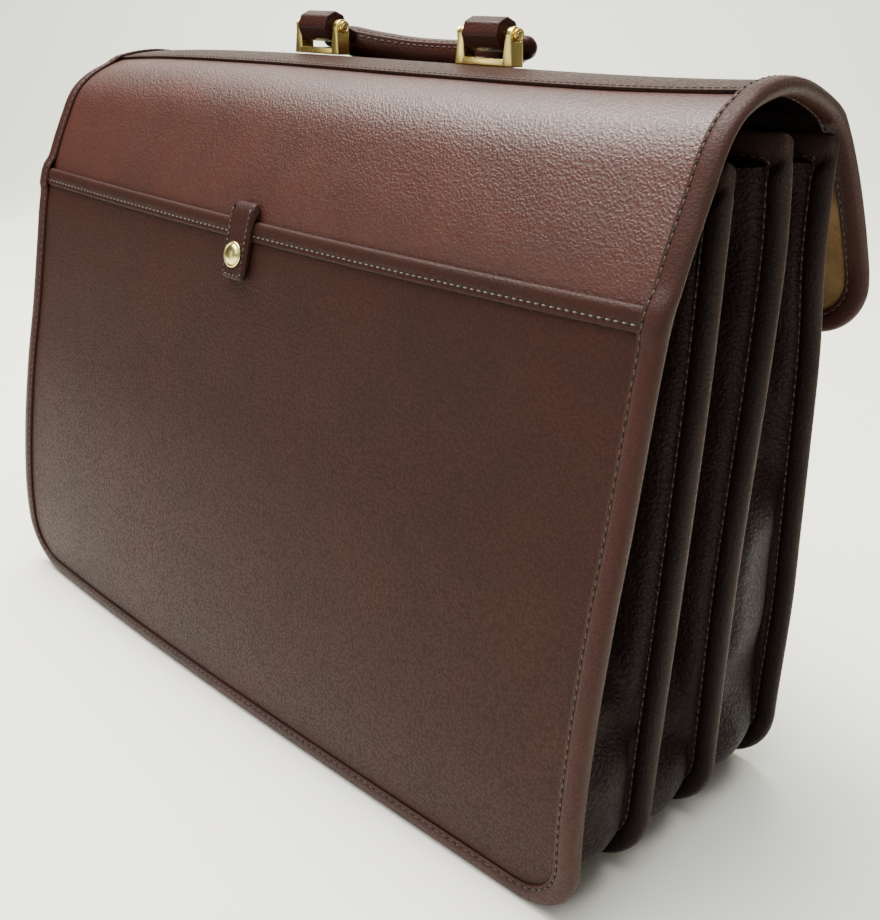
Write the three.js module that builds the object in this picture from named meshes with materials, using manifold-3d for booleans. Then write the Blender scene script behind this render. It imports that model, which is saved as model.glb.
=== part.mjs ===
import * as THREE from "three";
import { mergeVertices } from "three/addons/utils/BufferGeometryUtils.js";
import Module from "manifold-3d";

const wasm = await Module();
wasm.setup();

const { lerp, smoothstep, clamp, degToRad } = THREE.MathUtils;

// A leather document case with three bellows gussets. One long panel is the back, the top and the flap.
// X runs along the case, Y from the back panel to the flap's front, Z up from the floor. Millimetres.
// A place on a leaf is given flat: x across, s up along the leather from its foot, and n out of its face.

// Main sizes of the case
const caseWidth = 430;
const caseHeight = 310.5;
const flapReach = 182;
const frontReach = (147.5 / 182) * flapReach;
const dividerHeight = (297 / 310.5) * caseHeight;
const frontHeight = (295 / 310.5) * caseHeight;
const footCorner = 31;
const flapCorner = 26;
const dividerCorner = 9;
const bellyBow = 5;
const bellySkew = 0.4;
const endFlare = 4.5;
const farEndSag = 3;
const squareFoot = 18;

// Leather thicknesses and the gap left between layers that are sewn together
const panelThick = 1.5;
const dividerThick = 1.2;
const gussetThick = 1.0;
const liningThick = 1.0;
const pocketThick = 1.0;
const stripThick = 1.2;
const bindingThick = 1.0;
const bindingWidth = 7.5;
const layerGap = 0.3;
const edgeInset = 1.5;

// Bellows
const gussetTopDrop = 12;
const backGussetHeight = (284 / 310.5) * caseHeight;
const foldDepth = 34;
const underBinding = 0.8;
const foldBend = 2.4;

// Back pocket with its hem, tab and snap
const pocketHeight = (241 / 310.5) * caseHeight;
const pocketDip = 3;
const hemWidth = 8;
const hemThick = 1.0;
const tabWidth = 17;
const tabThick = 2.6;
const tabDrop = 26.6;
const tabRise = 7.4;
const tabPlace = -17.3;
const snapDiameter = 12.4;
const snapFromTabEnd = 11.2;
const snapHeight = 2.4;

// Handle, its brackets and the strip under them
const handleDepth = (103 / 182) * flapReach;
const stripWidth = 62;
const stripStep = 5;
const bracketSpacing = 116;
const bracketWidth = 34.4;
const bracketDepth = 8;
const bracketHeight = 17.2;
const bracketBase = 3.3;
const bracketWindow = 22.6;
const earLean = 1.4;
const pinHeight = 13.6;
const pinRadius = 2;
const pinClearance = 0.35;
const pinHeadRadius = 3;
const pinHeadThick = 1.3;
const loopWidth = 21.6;
const loopRadius = 6.5;
const loopTab = 6.4;
const gripRadius = 7.7;
const gripReach = 33;
const gripEnd = 71;
const gripEndReach = 14.5;
const handleDrop = 21;

// Clasp on the hidden front
const claspWidth = 34;
const claspHeight = 32;
const claspThick = 2.5;
const claspCorner = 5;
const catchWidth = 30;
const catchHeight = 24;
const catchPlace = (172 / 295) * frontHeight;

// Side profiles of the four leaves, foot first, as shares of the reach and height that each follows
const backProfile = [
  { depth: 0.016, height: 0.0 },
  { depth: -0.002, height: 0.08 },
  { depth: -0.008, height: 0.16 },
  { depth: 0.007, height: 0.29 },
  { depth: 0.036, height: 0.418 },
  { depth: 0.07, height: 0.53 },
  { depth: 0.099, height: 0.643 },
  { depth: 0.12, height: 0.722 },
  { depth: 0.148, height: 0.788 },
  { depth: 0.203, height: 0.868 },
  { depth: 0.264, height: 0.936 },
  { depth: 0.33, height: 0.972 },
  { depth: 0.423, height: 0.992 },
  { depth: 0.56, height: 1.0 },
  { depth: 0.68, height: 0.986 },
  { depth: 0.75, height: 0.962 },
  { depth: 0.81, height: 0.921 },
  { depth: 0.88, height: 0.859 },
  { depth: 0.942, height: 0.793 },
  { depth: 0.975, height: 0.749 },
  { depth: 1.0, height: 0.656 },
];
const nearDividerProfile = [
  { depth: 0.296, height: 0.0 },
  { depth: 0.312, height: 0.18 },
  { depth: 0.342, height: 0.42 },
  { depth: 0.37, height: 0.7 },
  { depth: 0.375, height: 0.95 },
];
const farDividerProfile = [
  { depth: 0.633, height: 0.0 },
  { depth: 0.627, height: 0.18 },
  { depth: 0.629, height: 0.4 },
  { depth: 0.664, height: 0.73 },
  { depth: 0.666, height: 0.86 },
  { depth: 0.628, height: 1.0 },
];
const frontProfile = [
  { depth: 0.992, height: 0.0 },
  { depth: 0.988, height: 0.12 },
  { depth: 1.0, height: 0.3 },
  { depth: 0.985, height: 0.42 },
  { depth: 0.966, height: 0.56 },
  { depth: 0.943, height: 0.7 },
  { depth: 0.892, height: 0.84 },
  { depth: 0.876, height: 1.0 },
];

// Folds of each bellows from its top (at 0), down the side to the corner (1), round it (2), to the
// middle of the bottom (3). Sink is the fold's depth and across its place between the two leaves.
const nearFolds = [
  { at: 0.0, sink: 0.75, across: 0.5 },
  { at: 0.2, sink: 1.0, across: 0.5 },
  { at: 0.7, sink: 1.0, across: 0.55 },
  { at: 0.82, sink: 0.42, across: 0.5 },
  { at: 0.91, sink: 0.12, across: 0.48 },
  { at: 1.0, sink: 0.14, across: 0.48 },
  { at: 1.5, sink: 0.22, across: 0.5 },
  { at: 2.0, sink: 0.42, across: 0.5 },
  { at: 2.3, sink: 0.6, across: 0.5 },
  { at: 3.0, sink: 0.6, across: 0.5 },
];
const middleFolds = [
  { at: 0.0, sink: 0.75, across: 0.5 },
  { at: 0.2, sink: 1.0, across: 0.5 },
  { at: 0.8, sink: 0.95, across: 0.55 },
  { at: 0.92, sink: 0.5, across: 0.5 },
  { at: 1.0, sink: 0.16, across: 0.48 },
  { at: 1.5, sink: 0.14, across: 0.5 },
  { at: 2.0, sink: 0.4, across: 0.5 },
  { at: 2.3, sink: 0.6, across: 0.5 },
  { at: 3.0, sink: 0.6, across: 0.5 },
];
const farFolds = [
  { at: 0.0, sink: 0.42, across: 0.72 },
  { at: 0.12, sink: 0.7, across: 0.55 },
  { at: 0.3, sink: 1.0, across: 0.5 },
  { at: 0.48, sink: 0.5, across: 0.38 },
  { at: 0.62, sink: 0.14, across: 0.34 },
  { at: 0.78, sink: 0.12, across: 0.34 },
  { at: 0.9, sink: 0.26, across: 0.36 },
  { at: 1.0, sink: 0.1, across: 0.45 },
  { at: 1.5, sink: 0.14, across: 0.5 },
  { at: 2.0, sink: 0.4, across: 0.5 },
  { at: 2.3, sink: 0.6, across: 0.5 },
  { at: 3.0, sink: 0.6, across: 0.5 },
];

// Where the sheets are cut into facets
const sideShares = [0, 0.08, 0.18, 0.3, 0.44, 0.58, 0.72, 0.92, 1];
const archShares = [0.07, 0.14, 0.23, 0.33, 0.43, 0.54, 0.66, 0.82];
const endShares = [0.9, 0.5, 0];
const cornerTurns = [0, 30, 60, 90].map(degToRad);
const tightCorner = 0.8;

const leather = new THREE.MeshStandardMaterial({ color: 0x54302c, roughness: 0.5 });
const gussetLeather = new THREE.MeshStandardMaterial({ color: 0x2c1518, roughness: 0.55 });
const edgeLeather = new THREE.MeshStandardMaterial({ color: 0x4a2926, roughness: 0.45 });
const suede = new THREE.MeshStandardMaterial({ color: 0x8a6c3c, roughness: 0.95 });
const brass = new THREE.MeshStandardMaterial({ color: 0xc9a44c, roughness: 0.2, metalness: 1 });

const caseGroup = new THREE.Group();

function addPiece(name, geometry, material, parent = caseGroup) {
  const mesh = new THREE.Mesh(geometry, material);
  mesh.name = name;
  parent.add(mesh);
  return mesh;
}

// Closed bodies from points and triangles, turned so that the faces point out
function closedBody(points, triangles) {
  const volume = (a, b, c) => points[a].dot(new THREE.Vector3().crossVectors(points[b], points[c]));
  let total = 0;
  for (let i = 0; i < triangles.length; i += 3) {
    total += volume(triangles[i], triangles[i + 1], triangles[i + 2]);
  }
  const faces = total < 0 ? [...triangles].reverse() : triangles;
  const geometry = new THREE.BufferGeometry().setFromPoints(points);
  geometry.setIndex(faces);
  return geometry;
}

// A sheet of leather between two grids of points, open or joined to itself along its rows
function shell(outer, inner, closed = false) {
  const rows = outer.length;
  const columns = outer[0].length;
  const last = columns - 1;
  const far = rows * columns;
  const at = (i, j) => (i % rows) * columns + j;
  const triangles = [];
  const quad = (a, b, c, d) => triangles.push(a, b, c, a, c, d);
  const strips = closed ? rows : rows - 1;
  for (let i = 0; i < strips; i += 1) {
    for (let j = 0; j < last; j += 1) {
      quad(at(i, j), at(i, j + 1), at(i + 1, j + 1), at(i + 1, j));
      quad(far + at(i, j), far + at(i + 1, j), far + at(i + 1, j + 1), far + at(i, j + 1));
    }
    quad(at(i, 0), at(i + 1, 0), far + at(i + 1, 0), far + at(i, 0));
    quad(at(i, last), far + at(i, last), far + at(i + 1, last), at(i + 1, last));
  }
  if (!closed) {
    const end = rows - 1;
    for (let j = 0; j < last; j += 1) {
      quad(at(0, j), far + at(0, j), far + at(0, j + 1), at(0, j + 1));
      quad(at(end, j), at(end, j + 1), far + at(end, j + 1), far + at(end, j));
    }
  }
  return closedBody([...outer.flat(), ...inner.flat()], triangles);
}

// A body through a row of rings, closed by a flat fan at each end
function loft(rings) {
  const sides = rings[0].length;
  const points = rings.flat();
  const centre = (ring) => {
    const sum = ring.reduce((total, point) => total.add(point), new THREE.Vector3());
    return sum.divideScalar(sides);
  };
  const first = points.push(centre(rings[0])) - 1;
  const final = points.push(centre(rings[rings.length - 1])) - 1;
  const triangles = [];
  for (let i = 0; i < rings.length - 1; i += 1) {
    for (let j = 0; j < sides; j += 1) {
      const next = (j + 1) % sides;
      const a = i * sides + j;
      const b = i * sides + next;
      triangles.push(a, b, b + sides, a, b + sides, a + sides);
    }
  }
  const base = (rings.length - 1) * sides;
  for (let j = 0; j < sides; j += 1) {
    const next = (j + 1) % sides;
    triangles.push(first, next, j, final, base + j, base + next);
  }
  return closedBody(points, triangles);
}

function toManifold(geometry) {
  const plain = geometry.clone();
  plain.deleteAttribute("normal");
  plain.deleteAttribute("uv");
  const merged = mergeVertices(plain, 1e-4);
  return new wasm.Manifold(new wasm.Mesh({
    numProp: 3,
    vertProperties: new Float32Array(merged.attributes.position.array),
    triVerts: new Uint32Array(merged.index.array),
  }));
}

function fromManifold(solid) {
  const mesh = solid.getMesh();
  const geometry = new THREE.BufferGeometry();
  geometry.setAttribute("position", new THREE.BufferAttribute(mesh.vertProperties, 3));
  geometry.setIndex(new THREE.BufferAttribute(mesh.triVerts, 1));
  return geometry;
}

// A leaf is one upright panel: its side profile, its flat outline and how both place a point
function makeLeaf({ profile, reach, height, headCorner, columns = [-1, 1], bulge = () => 0 }) {
  const points = profile.map((row) => new THREE.Vector3(0, row.depth * reach, row.height * height));
  const spine = new THREE.CatmullRomCurve3(points, false, "centripetal");
  spine.arcLengthDivisions = 600;
  const length = spine.getLength();

  const place = (x, s, n) => {
    const share = clamp(s / length, 0, 1);
    const point = spine.getPointAt(share);
    const tangent = spine.getTangentAt(share);
    tangent.y *= smoothstep(s, 0, squareFoot);
    tangent.normalize();
    const out = n + bulge(x, s);
    return new THREE.Vector3(x, point.y - tangent.z * out, point.z + tangent.y * out);
  };

  const stationWhere = (test) => {
    let s = 0;
    while (s < length && !test(spine.getPointAt(s / length))) s += 0.5;
    return s;
  };

  const radius = (head, inset) => Math.max((head ? headCorner : footCorner) - inset, tightCorner);

  // A point of the outline drawn in from the edge by inset. Kind is side, corner or end.
  const edge = ({ kind, head, hand, turn, share }, inset) => {
    const foot = inset + radius(false, inset);
    const top = length - inset - radius(true, inset);
    if (kind === "side") {
      return { x: hand * (caseWidth / 2 - inset), s: lerp(foot, top, share) };
    }
    const bend = radius(head, inset);
    const centreX = caseWidth / 2 - inset - bend;
    const centreS = head ? top : foot;
    const away = head ? 1 : -1;
    if (kind === "end") {
      return { x: share * centreX, s: centreS + away * bend };
    }
    return {
      x: hand * (centreX + bend * Math.cos(turn)),
      s: centreS + away * bend * Math.sin(turn),
    };
  };

  return { length, headCorner, place, edge, stationWhere, columns };
}

const up = (list) => [...list].sort((a, b) => a - b);
const down = (list) => up(list).reverse();
const bothHands = (list) => up([...new Set([...list, ...list.map((share) => -share)])]);

const cornerStations = (head, hand, turns) => turns.map((turn) => ({ kind: "corner", head, hand, turn }));
const sideStations = (hand, shares) => shares.map((share) => ({ kind: "side", hand, share }));
const footStations = () => down(bothHands(endShares)).map((share) => ({ kind: "end", head: false, share }));
const headStations = () => up(bothHands(endShares)).map((share) => ({ kind: "end", head: true, share }));

// Down the right side, along the foot and up the left side
function bellowsRoute(shares) {
  return [
    ...sideStations(1, down(shares)),
    ...cornerStations(false, 1, cornerTurns),
    ...footStations(),
    ...cornerStations(false, -1, down(cornerTurns)),
    ...sideStations(-1, up(shares)),
  ];
}

function wholeRoute(shares) {
  return [
    ...bellowsRoute(shares),
    ...cornerStations(true, -1, cornerTurns),
    ...headStations(),
    ...cornerStations(true, 1, down(cornerTurns)),
  ];
}

// Share of a leaf's straight side at which the leather has run s from its foot
function shareOfSide(leaf, s) {
  return (s - footCorner) / (leaf.length - footCorner - leaf.headCorner);
}

// The four leaves
const backLeaf = makeLeaf({
  profile: backProfile,
  reach: flapReach,
  height: caseHeight,
  headCorner: flapCorner,
  columns: [-1, ...bothHands(endShares), 1],
  bulge: (x, s) => {
    const end = x / (caseWidth / 2);
    const low = 1 - smoothstep(s, 0.2 * pocketHeight, 1.05 * pocketHeight);
    const belly = bellyBow * (1 - end ** 2) * (1 - bellySkew * end) * low;
    const rise = smoothstep(s, backGussetHeight, caseHeight + 0.05 * flapReach);
    const fall = 1 - smoothstep(s, caseHeight + 0.15 * flapReach, caseHeight + 0.4 * flapReach);
    const top = end > 0 ? endFlare * end ** 4 : -farEndSag * end ** 2;
    return belly + top * rise * fall;
  },
});
const nearDivider = makeLeaf({
  profile: nearDividerProfile,
  reach: frontReach,
  height: dividerHeight,
  headCorner: dividerCorner,
});
const farDivider = makeLeaf({
  profile: farDividerProfile,
  reach: frontReach,
  height: dividerHeight,
  headCorner: dividerCorner,
});
const frontLeaf = makeLeaf({
  profile: frontProfile,
  reach: frontReach,
  height: frontHeight,
  headCorner: dividerCorner,
});

// How far up each leaf the bellows are sewn, and the places where the layers change
const pocketTop = backLeaf.stationWhere((point) => point.z >= pocketHeight);
const backGussetTop = backLeaf.stationWhere((point) => point.z >= backGussetHeight);
const handleStation = backLeaf.stationWhere((point) => point.y >= handleDepth);
const stripStart = handleStation - stripWidth / 2;
const stripEnd = handleStation + stripWidth / 2;
const gussetTop = new Map([
  [backLeaf, backGussetTop],
  [nearDivider, nearDivider.length - gussetTopDrop],
  [farDivider, farDivider.length - gussetTopDrop],
  [frontLeaf, frontLeaf.length - gussetTopDrop],
]);
const pocketShare = (pocketTop - footCorner) / (backGussetTop - footCorner);
const pocketFade = (pocketTop + stripStep - footCorner) / (backGussetTop - footCorner);
const gussetShares = up([
  ...sideShares.filter((share) => Math.min(Math.abs(share - pocketShare), Math.abs(share - pocketFade)) > 0.02),
  pocketShare,
  pocketFade,
]);

// Every layer of a leaf is cut into facets at the same places, so that the layers stay parallel
function bellowsShares(leaf) {
  const top = gussetTop.get(leaf);
  return gussetShares.map((share) => shareOfSide(leaf, lerp(footCorner, top, share)));
}

const archTop = backLeaf.length - flapCorner;
const archStations = archShares.map((share) => lerp(backGussetTop, archTop, share));
const stripStations = [stripStart - stripStep, stripStart, stripEnd, stripEnd + stripStep];
const clearOfStrip = archStations.filter((s) => stripStations.every((other) => Math.abs(s - other) > 3));
const backArchShares = [...clearOfStrip, ...stripStations].map((s) => shareOfSide(backLeaf, s));

const leafShares = new Map([
  [backLeaf, [...bellowsShares(backLeaf), ...backArchShares]],
  [nearDivider, bellowsShares(nearDivider)],
  [farDivider, bellowsShares(farDivider)],
  [frontLeaf, bellowsShares(frontLeaf)],
]);

// A flat layer of a leaf between two heights, its corners rounded where it reaches the leaf's ends
function layer(leaf, { inset, from = 0, to = leaf.length, dip = 0, outer, inner }) {
  const stations = [
    ...cornerStations(false, 1, down(cornerTurns)),
    ...sideStations(1, up(leafShares.get(leaf))),
    ...cornerStations(true, 1, cornerTurns),
  ];
  const rows = stations.map((station) => leaf.edge(station, inset));
  const low = Math.max(from, rows[0].s);
  const high = Math.min(to, rows[rows.length - 1].s);
  const kept = rows.filter(({ s }) => s > low + 1 && s < high - 1);
  const halfWidth = (s) => {
    const next = rows.findIndex((row) => row.s >= s - 1e-6);
    if (next <= 0) return rows[Math.max(next, 0)].x;
    const below = rows[next - 1];
    const above = rows[next];
    return lerp(below.x, above.x, (s - below.s) / (above.s - below.s));
  };
  const lines = [
    { x: halfWidth(low), s: low, dip: 0 },
    ...kept.map(({ x, s }) => ({ x, s, dip: 0 })),
    { x: halfWidth(high), s: high, dip },
  ];
  const grid = (n) => lines.map((line) => leaf.columns.map((share) => {
    return leaf.place(share * line.x, line.s - line.dip * (1 - share ** 2), n);
  }));
  return shell(grid(outer), grid(inner));
}

// Edge binding: a folded strip round the whole outline, over all the layers that it holds
function binding(leaf, reachOut) {
  const section = (s) => {
    const { out, back } = reachOut(s);
    const b = bindingThick;
    return {
      outer: [[bindingWidth, out], [0, out], [0, back], [bindingWidth, back]],
      inner: [[bindingWidth, out - b], [b, out - b], [b, back + b], [bindingWidth, back + b]],
    };
  };
  const outer = [];
  const inner = [];
  for (const station of wholeRoute(leafShares.get(leaf))) {
    const shape = section(leaf.edge(station, 0).s);
    const spot = ([inset, n]) => {
      const { x, s } = leaf.edge(station, inset);
      return leaf.place(x, s, n);
    };
    outer.push(shape.outer.map(spot));
    inner.push(shape.inner.map(spot));
  }
  return shell(outer, inner, true);
}

const cover = layerGap + bindingThick;
const gussetLayer = layerGap + gussetThick;

// Back panel, lining, pocket and top strip, all within one binding
const pocketLayer = layerGap + pocketThick;
const stripLayer = layerGap + stripThick;
const liningLayer = layerGap + liningThick;

addPiece("back_flap_panel", layer(backLeaf, { inset: edgeInset, outer: 0, inner: -panelThick }), leather);
addPiece("flap_lining", layer(backLeaf, {
  inset: edgeInset,
  from: backGussetTop + 1,
  outer: -panelThick - layerGap,
  inner: -panelThick - liningLayer,
}), suede);
addPiece("back_pocket", layer(backLeaf, {
  inset: edgeInset,
  to: pocketTop,
  dip: pocketDip,
  outer: pocketLayer,
  inner: layerGap,
}), leather);
addPiece("top_strip", layer(backLeaf, {
  inset: edgeInset,
  from: stripStart,
  to: stripEnd,
  outer: stripLayer,
  inner: layerGap,
}), leather);
addPiece("back_flap_binding", binding(backLeaf, (s) => {
  const overPocket = s <= pocketTop + 0.5 ? pocketLayer : 0;
  const overStrip = s >= stripStart - 0.5 && s <= stripEnd + 0.5 ? stripLayer : 0;
  return {
    out: Math.max(overPocket, overStrip) + cover,
    back: -panelThick - Math.max(gussetLayer, liningLayer) - cover,
  };
}), edgeLeather);

// The pocket's top edge hangs a little in the middle
const pocketHalfWidth = caseWidth / 2 - edgeInset;
const pocketEdge = (x) => pocketTop - pocketDip * (1 - (x / pocketHalfWidth) ** 2);

// Pocket hem: folded over the pocket's top edge, between the two side bindings
function hemShell() {
  const halfWidth = caseWidth / 2 - bindingWidth - layerGap;
  const face = pocketLayer + layerGap;
  const outer = [
    [-hemWidth, face + hemThick],
    [layerGap, face + hemThick],
    [layerGap + hemThick, face],
    [layerGap + hemThick, layerGap],
  ];
  const inner = [
    [-hemWidth, face],
    [0, face],
    [layerGap, pocketLayer],
    [layerGap, layerGap],
  ];
  const along = backLeaf.columns.map((share) => share * pocketHalfWidth);
  const places = along.map((x) => clamp(x, -halfWidth, halfWidth));
  const grid = (section) => places.map((x) => section.map(([s, n]) => {
    return backLeaf.place(x, pocketEdge(x) + s, n);
  }));
  return shell(grid(outer), grid(inner));
}
addPiece("pocket_hem", hemShell(), leather);

// Snap tab: doubled and stitched above the hem, and from there straight down over it
const tabBack = pocketLayer + layerGap + hemThick + layerGap;
const tabTop = pocketEdge(tabPlace);
const tabEnd = tabTop - tabDrop;
function tabShell() {
  const foldEnd = tabTop + 3 * layerGap + hemThick;
  const t = tabThick;
  const outer = [
    [tabEnd, tabBack + t],
    [tabTop, tabBack + t],
    [tabTop + 0.75 * tabRise, tabBack + 0.9 * t],
    [tabTop + tabRise + 0.6 * t, tabBack],
    [tabTop + tabRise + t, layerGap + 0.7 * t],
    [tabTop + tabRise + 0.4 * t, layerGap],
    [foldEnd, layerGap],
  ];
  const inner = [
    [tabEnd, tabBack],
    [tabTop, tabBack],
    [lerp(tabTop, foldEnd, 0.5), tabBack],
    [foldEnd, tabBack],
    [foldEnd, lerp(tabBack, layerGap, 0.25)],
    [foldEnd, lerp(tabBack, layerGap, 0.5)],
    [foldEnd, lerp(tabBack, layerGap, 0.75)],
  ];
  const columns = [-0.5, 0.5];
  const grid = (section) => columns.map((share) => section.map(([s, n]) => {
    return backLeaf.place(tabPlace + share * tabWidth, s, n);
  }));
  return shell(grid(outer), grid(inner));
}
addPiece("snap_tab", tabShell(), leather);

// A body of revolution or a plate stood on a leaf, its own Z along the leaf's outward normal
function standOn(mesh, leaf, x, s, n) {
  const foot = leaf.place(x, s, n);
  const out = leaf.place(x, s, n + 1).sub(foot).normalize();
  const along = leaf.place(x, s + 1, n).sub(leaf.place(x, s - 1, n)).normalize();
  const across = new THREE.Vector3().crossVectors(along, out);
  mesh.quaternion.setFromRotationMatrix(new THREE.Matrix4().makeBasis(across, along, out));
  mesh.position.copy(foot);
}

function domeGeometry(radius, height) {
  const outline = [
    [0, 0],
    [radius, 0],
    [radius, 0.3 * height],
    [0.86 * radius, 0.66 * height],
    [0.5 * radius, 0.93 * height],
    [0, height],
  ];
  const lathe = new THREE.LatheGeometry(outline.map(([x, y]) => new THREE.Vector2(x, y)), 20);
  return lathe.rotateX(Math.PI / 2);
}
const snapCap = addPiece("snap_cap", domeGeometry(snapDiameter / 2, snapHeight), brass);
standOn(snapCap, backLeaf, tabPlace, tabEnd + snapFromTabEnd, tabBack + tabThick + layerGap);

// Dividers and the front panel, each in its own binding
function leafBinding(leaf, thick, bellowsBehind) {
  const top = gussetTop.get(leaf);
  return binding(leaf, (s) => {
    const sewn = s <= top + 0.5 ? gussetLayer : 0;
    return {
      out: sewn + cover,
      back: -thick - (bellowsBehind ? sewn : 0) - cover,
    };
  });
}
const uprights = [
  { name: "near_divider", leaf: nearDivider, thick: dividerThick, bellowsBehind: true },
  { name: "far_divider", leaf: farDivider, thick: dividerThick, bellowsBehind: true },
  { name: "front_panel", leaf: frontLeaf, thick: panelThick, bellowsBehind: false },
];
for (const { name, leaf, thick, bellowsBehind } of uprights) {
  addPiece(name, layer(leaf, { inset: edgeInset, outer: 0, inner: -thick }), leather);
  addPiece(`${name}_binding`, leafBinding(leaf, thick, bellowsBehind), edgeLeather);
}

// A bellows between two leaves: sewn flat to each under its binding, and folded in between
function foldAt(folds, at) {
  const next = folds.findIndex((row) => row.at >= at);
  if (next <= 0) return folds[Math.max(next, 0)];
  const below = folds[next - 1];
  const above = folds[next];
  const blend = smoothstep(at, below.at, above.at);
  return {
    sink: lerp(below.sink, above.sink, blend),
    across: lerp(below.across, above.across, blend),
  };
}

// How far a station lies along half of the route: 0 at the top, 1 to 2 round the corner, 3 mid-foot
function alongRoute(station, share) {
  if (station.kind === "side") return 1 - share;
  if (station.kind === "corner") return 1 + station.turn / (Math.PI / 2);
  return 3 - Math.abs(station.share);
}

function bellowsSection(fold) {
  const leg = bindingWidth + underBinding;
  const bend = leg + foldBend;
  const sink = fold.sink * foldDepth;
  const quarter = (side) => lerp(0.1, side, 0.38);
  const shoulder = lerp(bend, sink, 0.68);
  return [
    [0, edgeInset],
    [0, leg],
    [0.1, bend],
    [quarter(fold.across), shoulder],
    [fold.across, sink],
    [1 - quarter(1 - fold.across), shoulder],
    [0.9, bend],
    [1, leg],
    [1, edgeInset],
  ];
}

// It is sewn from three lengths: one up each end of the case and one round the corners and the foot
function addBellows(name, { behind, ahead, thick, folds }) {
  const route = (leaf) => bellowsRoute(bellowsShares(leaf));
  const behindRoute = route(behind);
  const aheadRoute = route(ahead);
  const behindFace = -thick - layerGap - gussetThick / 2;
  const aheadFace = layerGap + gussetThick / 2;
  const middle = behindRoute.map((station, i) => {
    const span = bellowsShares(behind);
    const reach = span[span.length - 1];
    const section = bellowsSection(foldAt(folds, alongRoute(station, station.share / reach)));
    return section.map(([across, inset]) => {
      const a = behind.edge(station, inset);
      const b = ahead.edge(aheadRoute[i], inset);
      const from = behind.place(a.x, a.s, behindFace);
      return from.lerp(ahead.place(b.x, b.s, aheadFace), across);
    });
  });
  const last = middle.length - 1;
  const offset = (side) => middle.map((row, i) => row.map((point, j) => {
    const alongRow = row[Math.min(j + 1, row.length - 1)].clone().sub(row[Math.max(j - 1, 0)]);
    const alongWay = middle[Math.min(i + 1, last)][j].clone().sub(middle[Math.max(i - 1, 0)][j]);
    const normal = alongRow.cross(alongWay).normalize();
    return point.clone().addScaledVector(normal, side * gussetThick / 2);
  }));
  const outer = offset(1);
  const inner = offset(-1);
  const sideRows = gussetShares.length;
  const footEnd = middle.length - sideRows;
  const shortened = (row, next) => row.map((point, j) => {
    return point.clone().lerp(next[j], Math.min((3 * layerGap) / point.distanceTo(next[j]), 0.5));
  });
  const rightEnd = (grid) => [...grid.slice(0, sideRows - 1), shortened(grid[sideRows - 1], grid[sideRows - 2])];
  const foot = (grid) => grid.slice(sideRows, footEnd);
  const leftEnd = (grid) => [shortened(grid[footEnd], grid[footEnd + 1]), ...grid.slice(footEnd + 1)];
  addPiece(`${name}_right_end`, shell(rightEnd(outer), rightEnd(inner)), gussetLeather);
  addPiece(`${name}_foot`, shell(foot(outer), foot(inner)), gussetLeather);
  addPiece(`${name}_left_end`, shell(leftEnd(outer), leftEnd(inner)), gussetLeather);
}
addBellows("near_gusset", { behind: backLeaf, ahead: nearDivider, thick: panelThick, folds: nearFolds });
addBellows("middle_gusset", { behind: nearDivider, ahead: farDivider, thick: dividerThick, folds: middleFolds });
addBellows("far_gusset", { behind: farDivider, ahead: frontLeaf, thick: dividerThick, folds: farFolds });

// Handle brackets: an ear at each side of a base, with a pin through both
const seat = backLeaf.place(bracketSpacing / 2, handleStation, stripLayer + layerGap);
const pinAxis = new THREE.Vector3(0, seat.y, seat.z + pinHeight);

function bracketGeometry() {
  const half = bracketWidth / 2;
  const open = bracketWindow / 2;
  const outline = new THREE.Shape([
    new THREE.Vector2(-half, 0),
    new THREE.Vector2(half, 0),
    new THREE.Vector2(half - earLean, bracketHeight),
    new THREE.Vector2(open + earLean, bracketHeight),
    new THREE.Vector2(open, bracketBase),
    new THREE.Vector2(-open, bracketBase),
    new THREE.Vector2(-open - earLean, bracketHeight),
    new THREE.Vector2(-half + earLean, bracketHeight),
  ]);
  const body = new THREE.ExtrudeGeometry(outline, { depth: bracketDepth, bevelEnabled: false });
  body.rotateX(Math.PI / 2).translate(0, bracketDepth / 2, 0);
  const bore = new THREE.CylinderGeometry(pinRadius + pinClearance, pinRadius + pinClearance, 2 * bracketWidth, 12);
  bore.rotateZ(Math.PI / 2).translate(0, 0, pinHeight);
  return fromManifold(toManifold(body).subtract(toManifold(bore)));
}

function pinGeometry() {
  const shoulder = bracketWidth / 2 - earLean * pinHeight / bracketHeight + earLean * pinHeadRadius / bracketHeight;
  const headStart = shoulder + layerGap;
  const headEnd = headStart + pinHeadThick;
  const outline = [
    [0, -headEnd],
    [pinHeadRadius, -headEnd],
    [pinHeadRadius, -headStart],
    [pinRadius, -headStart],
    [pinRadius, headStart],
    [pinHeadRadius, headStart],
    [pinHeadRadius, headEnd],
    [0, headEnd],
  ];
  return new THREE.LatheGeometry(outline.map(([x, y]) => new THREE.Vector2(x, y)), 12).rotateZ(Math.PI / 2);
}

const hands = [{ side: "left", hand: -1 }, { side: "right", hand: 1 }];
for (const { side, hand } of hands) {
  const x = hand * bracketSpacing / 2;
  addPiece(`${side}_bracket`, bracketGeometry(), brass).position.set(x, seat.y, seat.z);
  addPiece(`${side}_pin`, pinGeometry(), brass).position.set(x, pinAxis.y, pinAxis.z);
}

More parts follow.
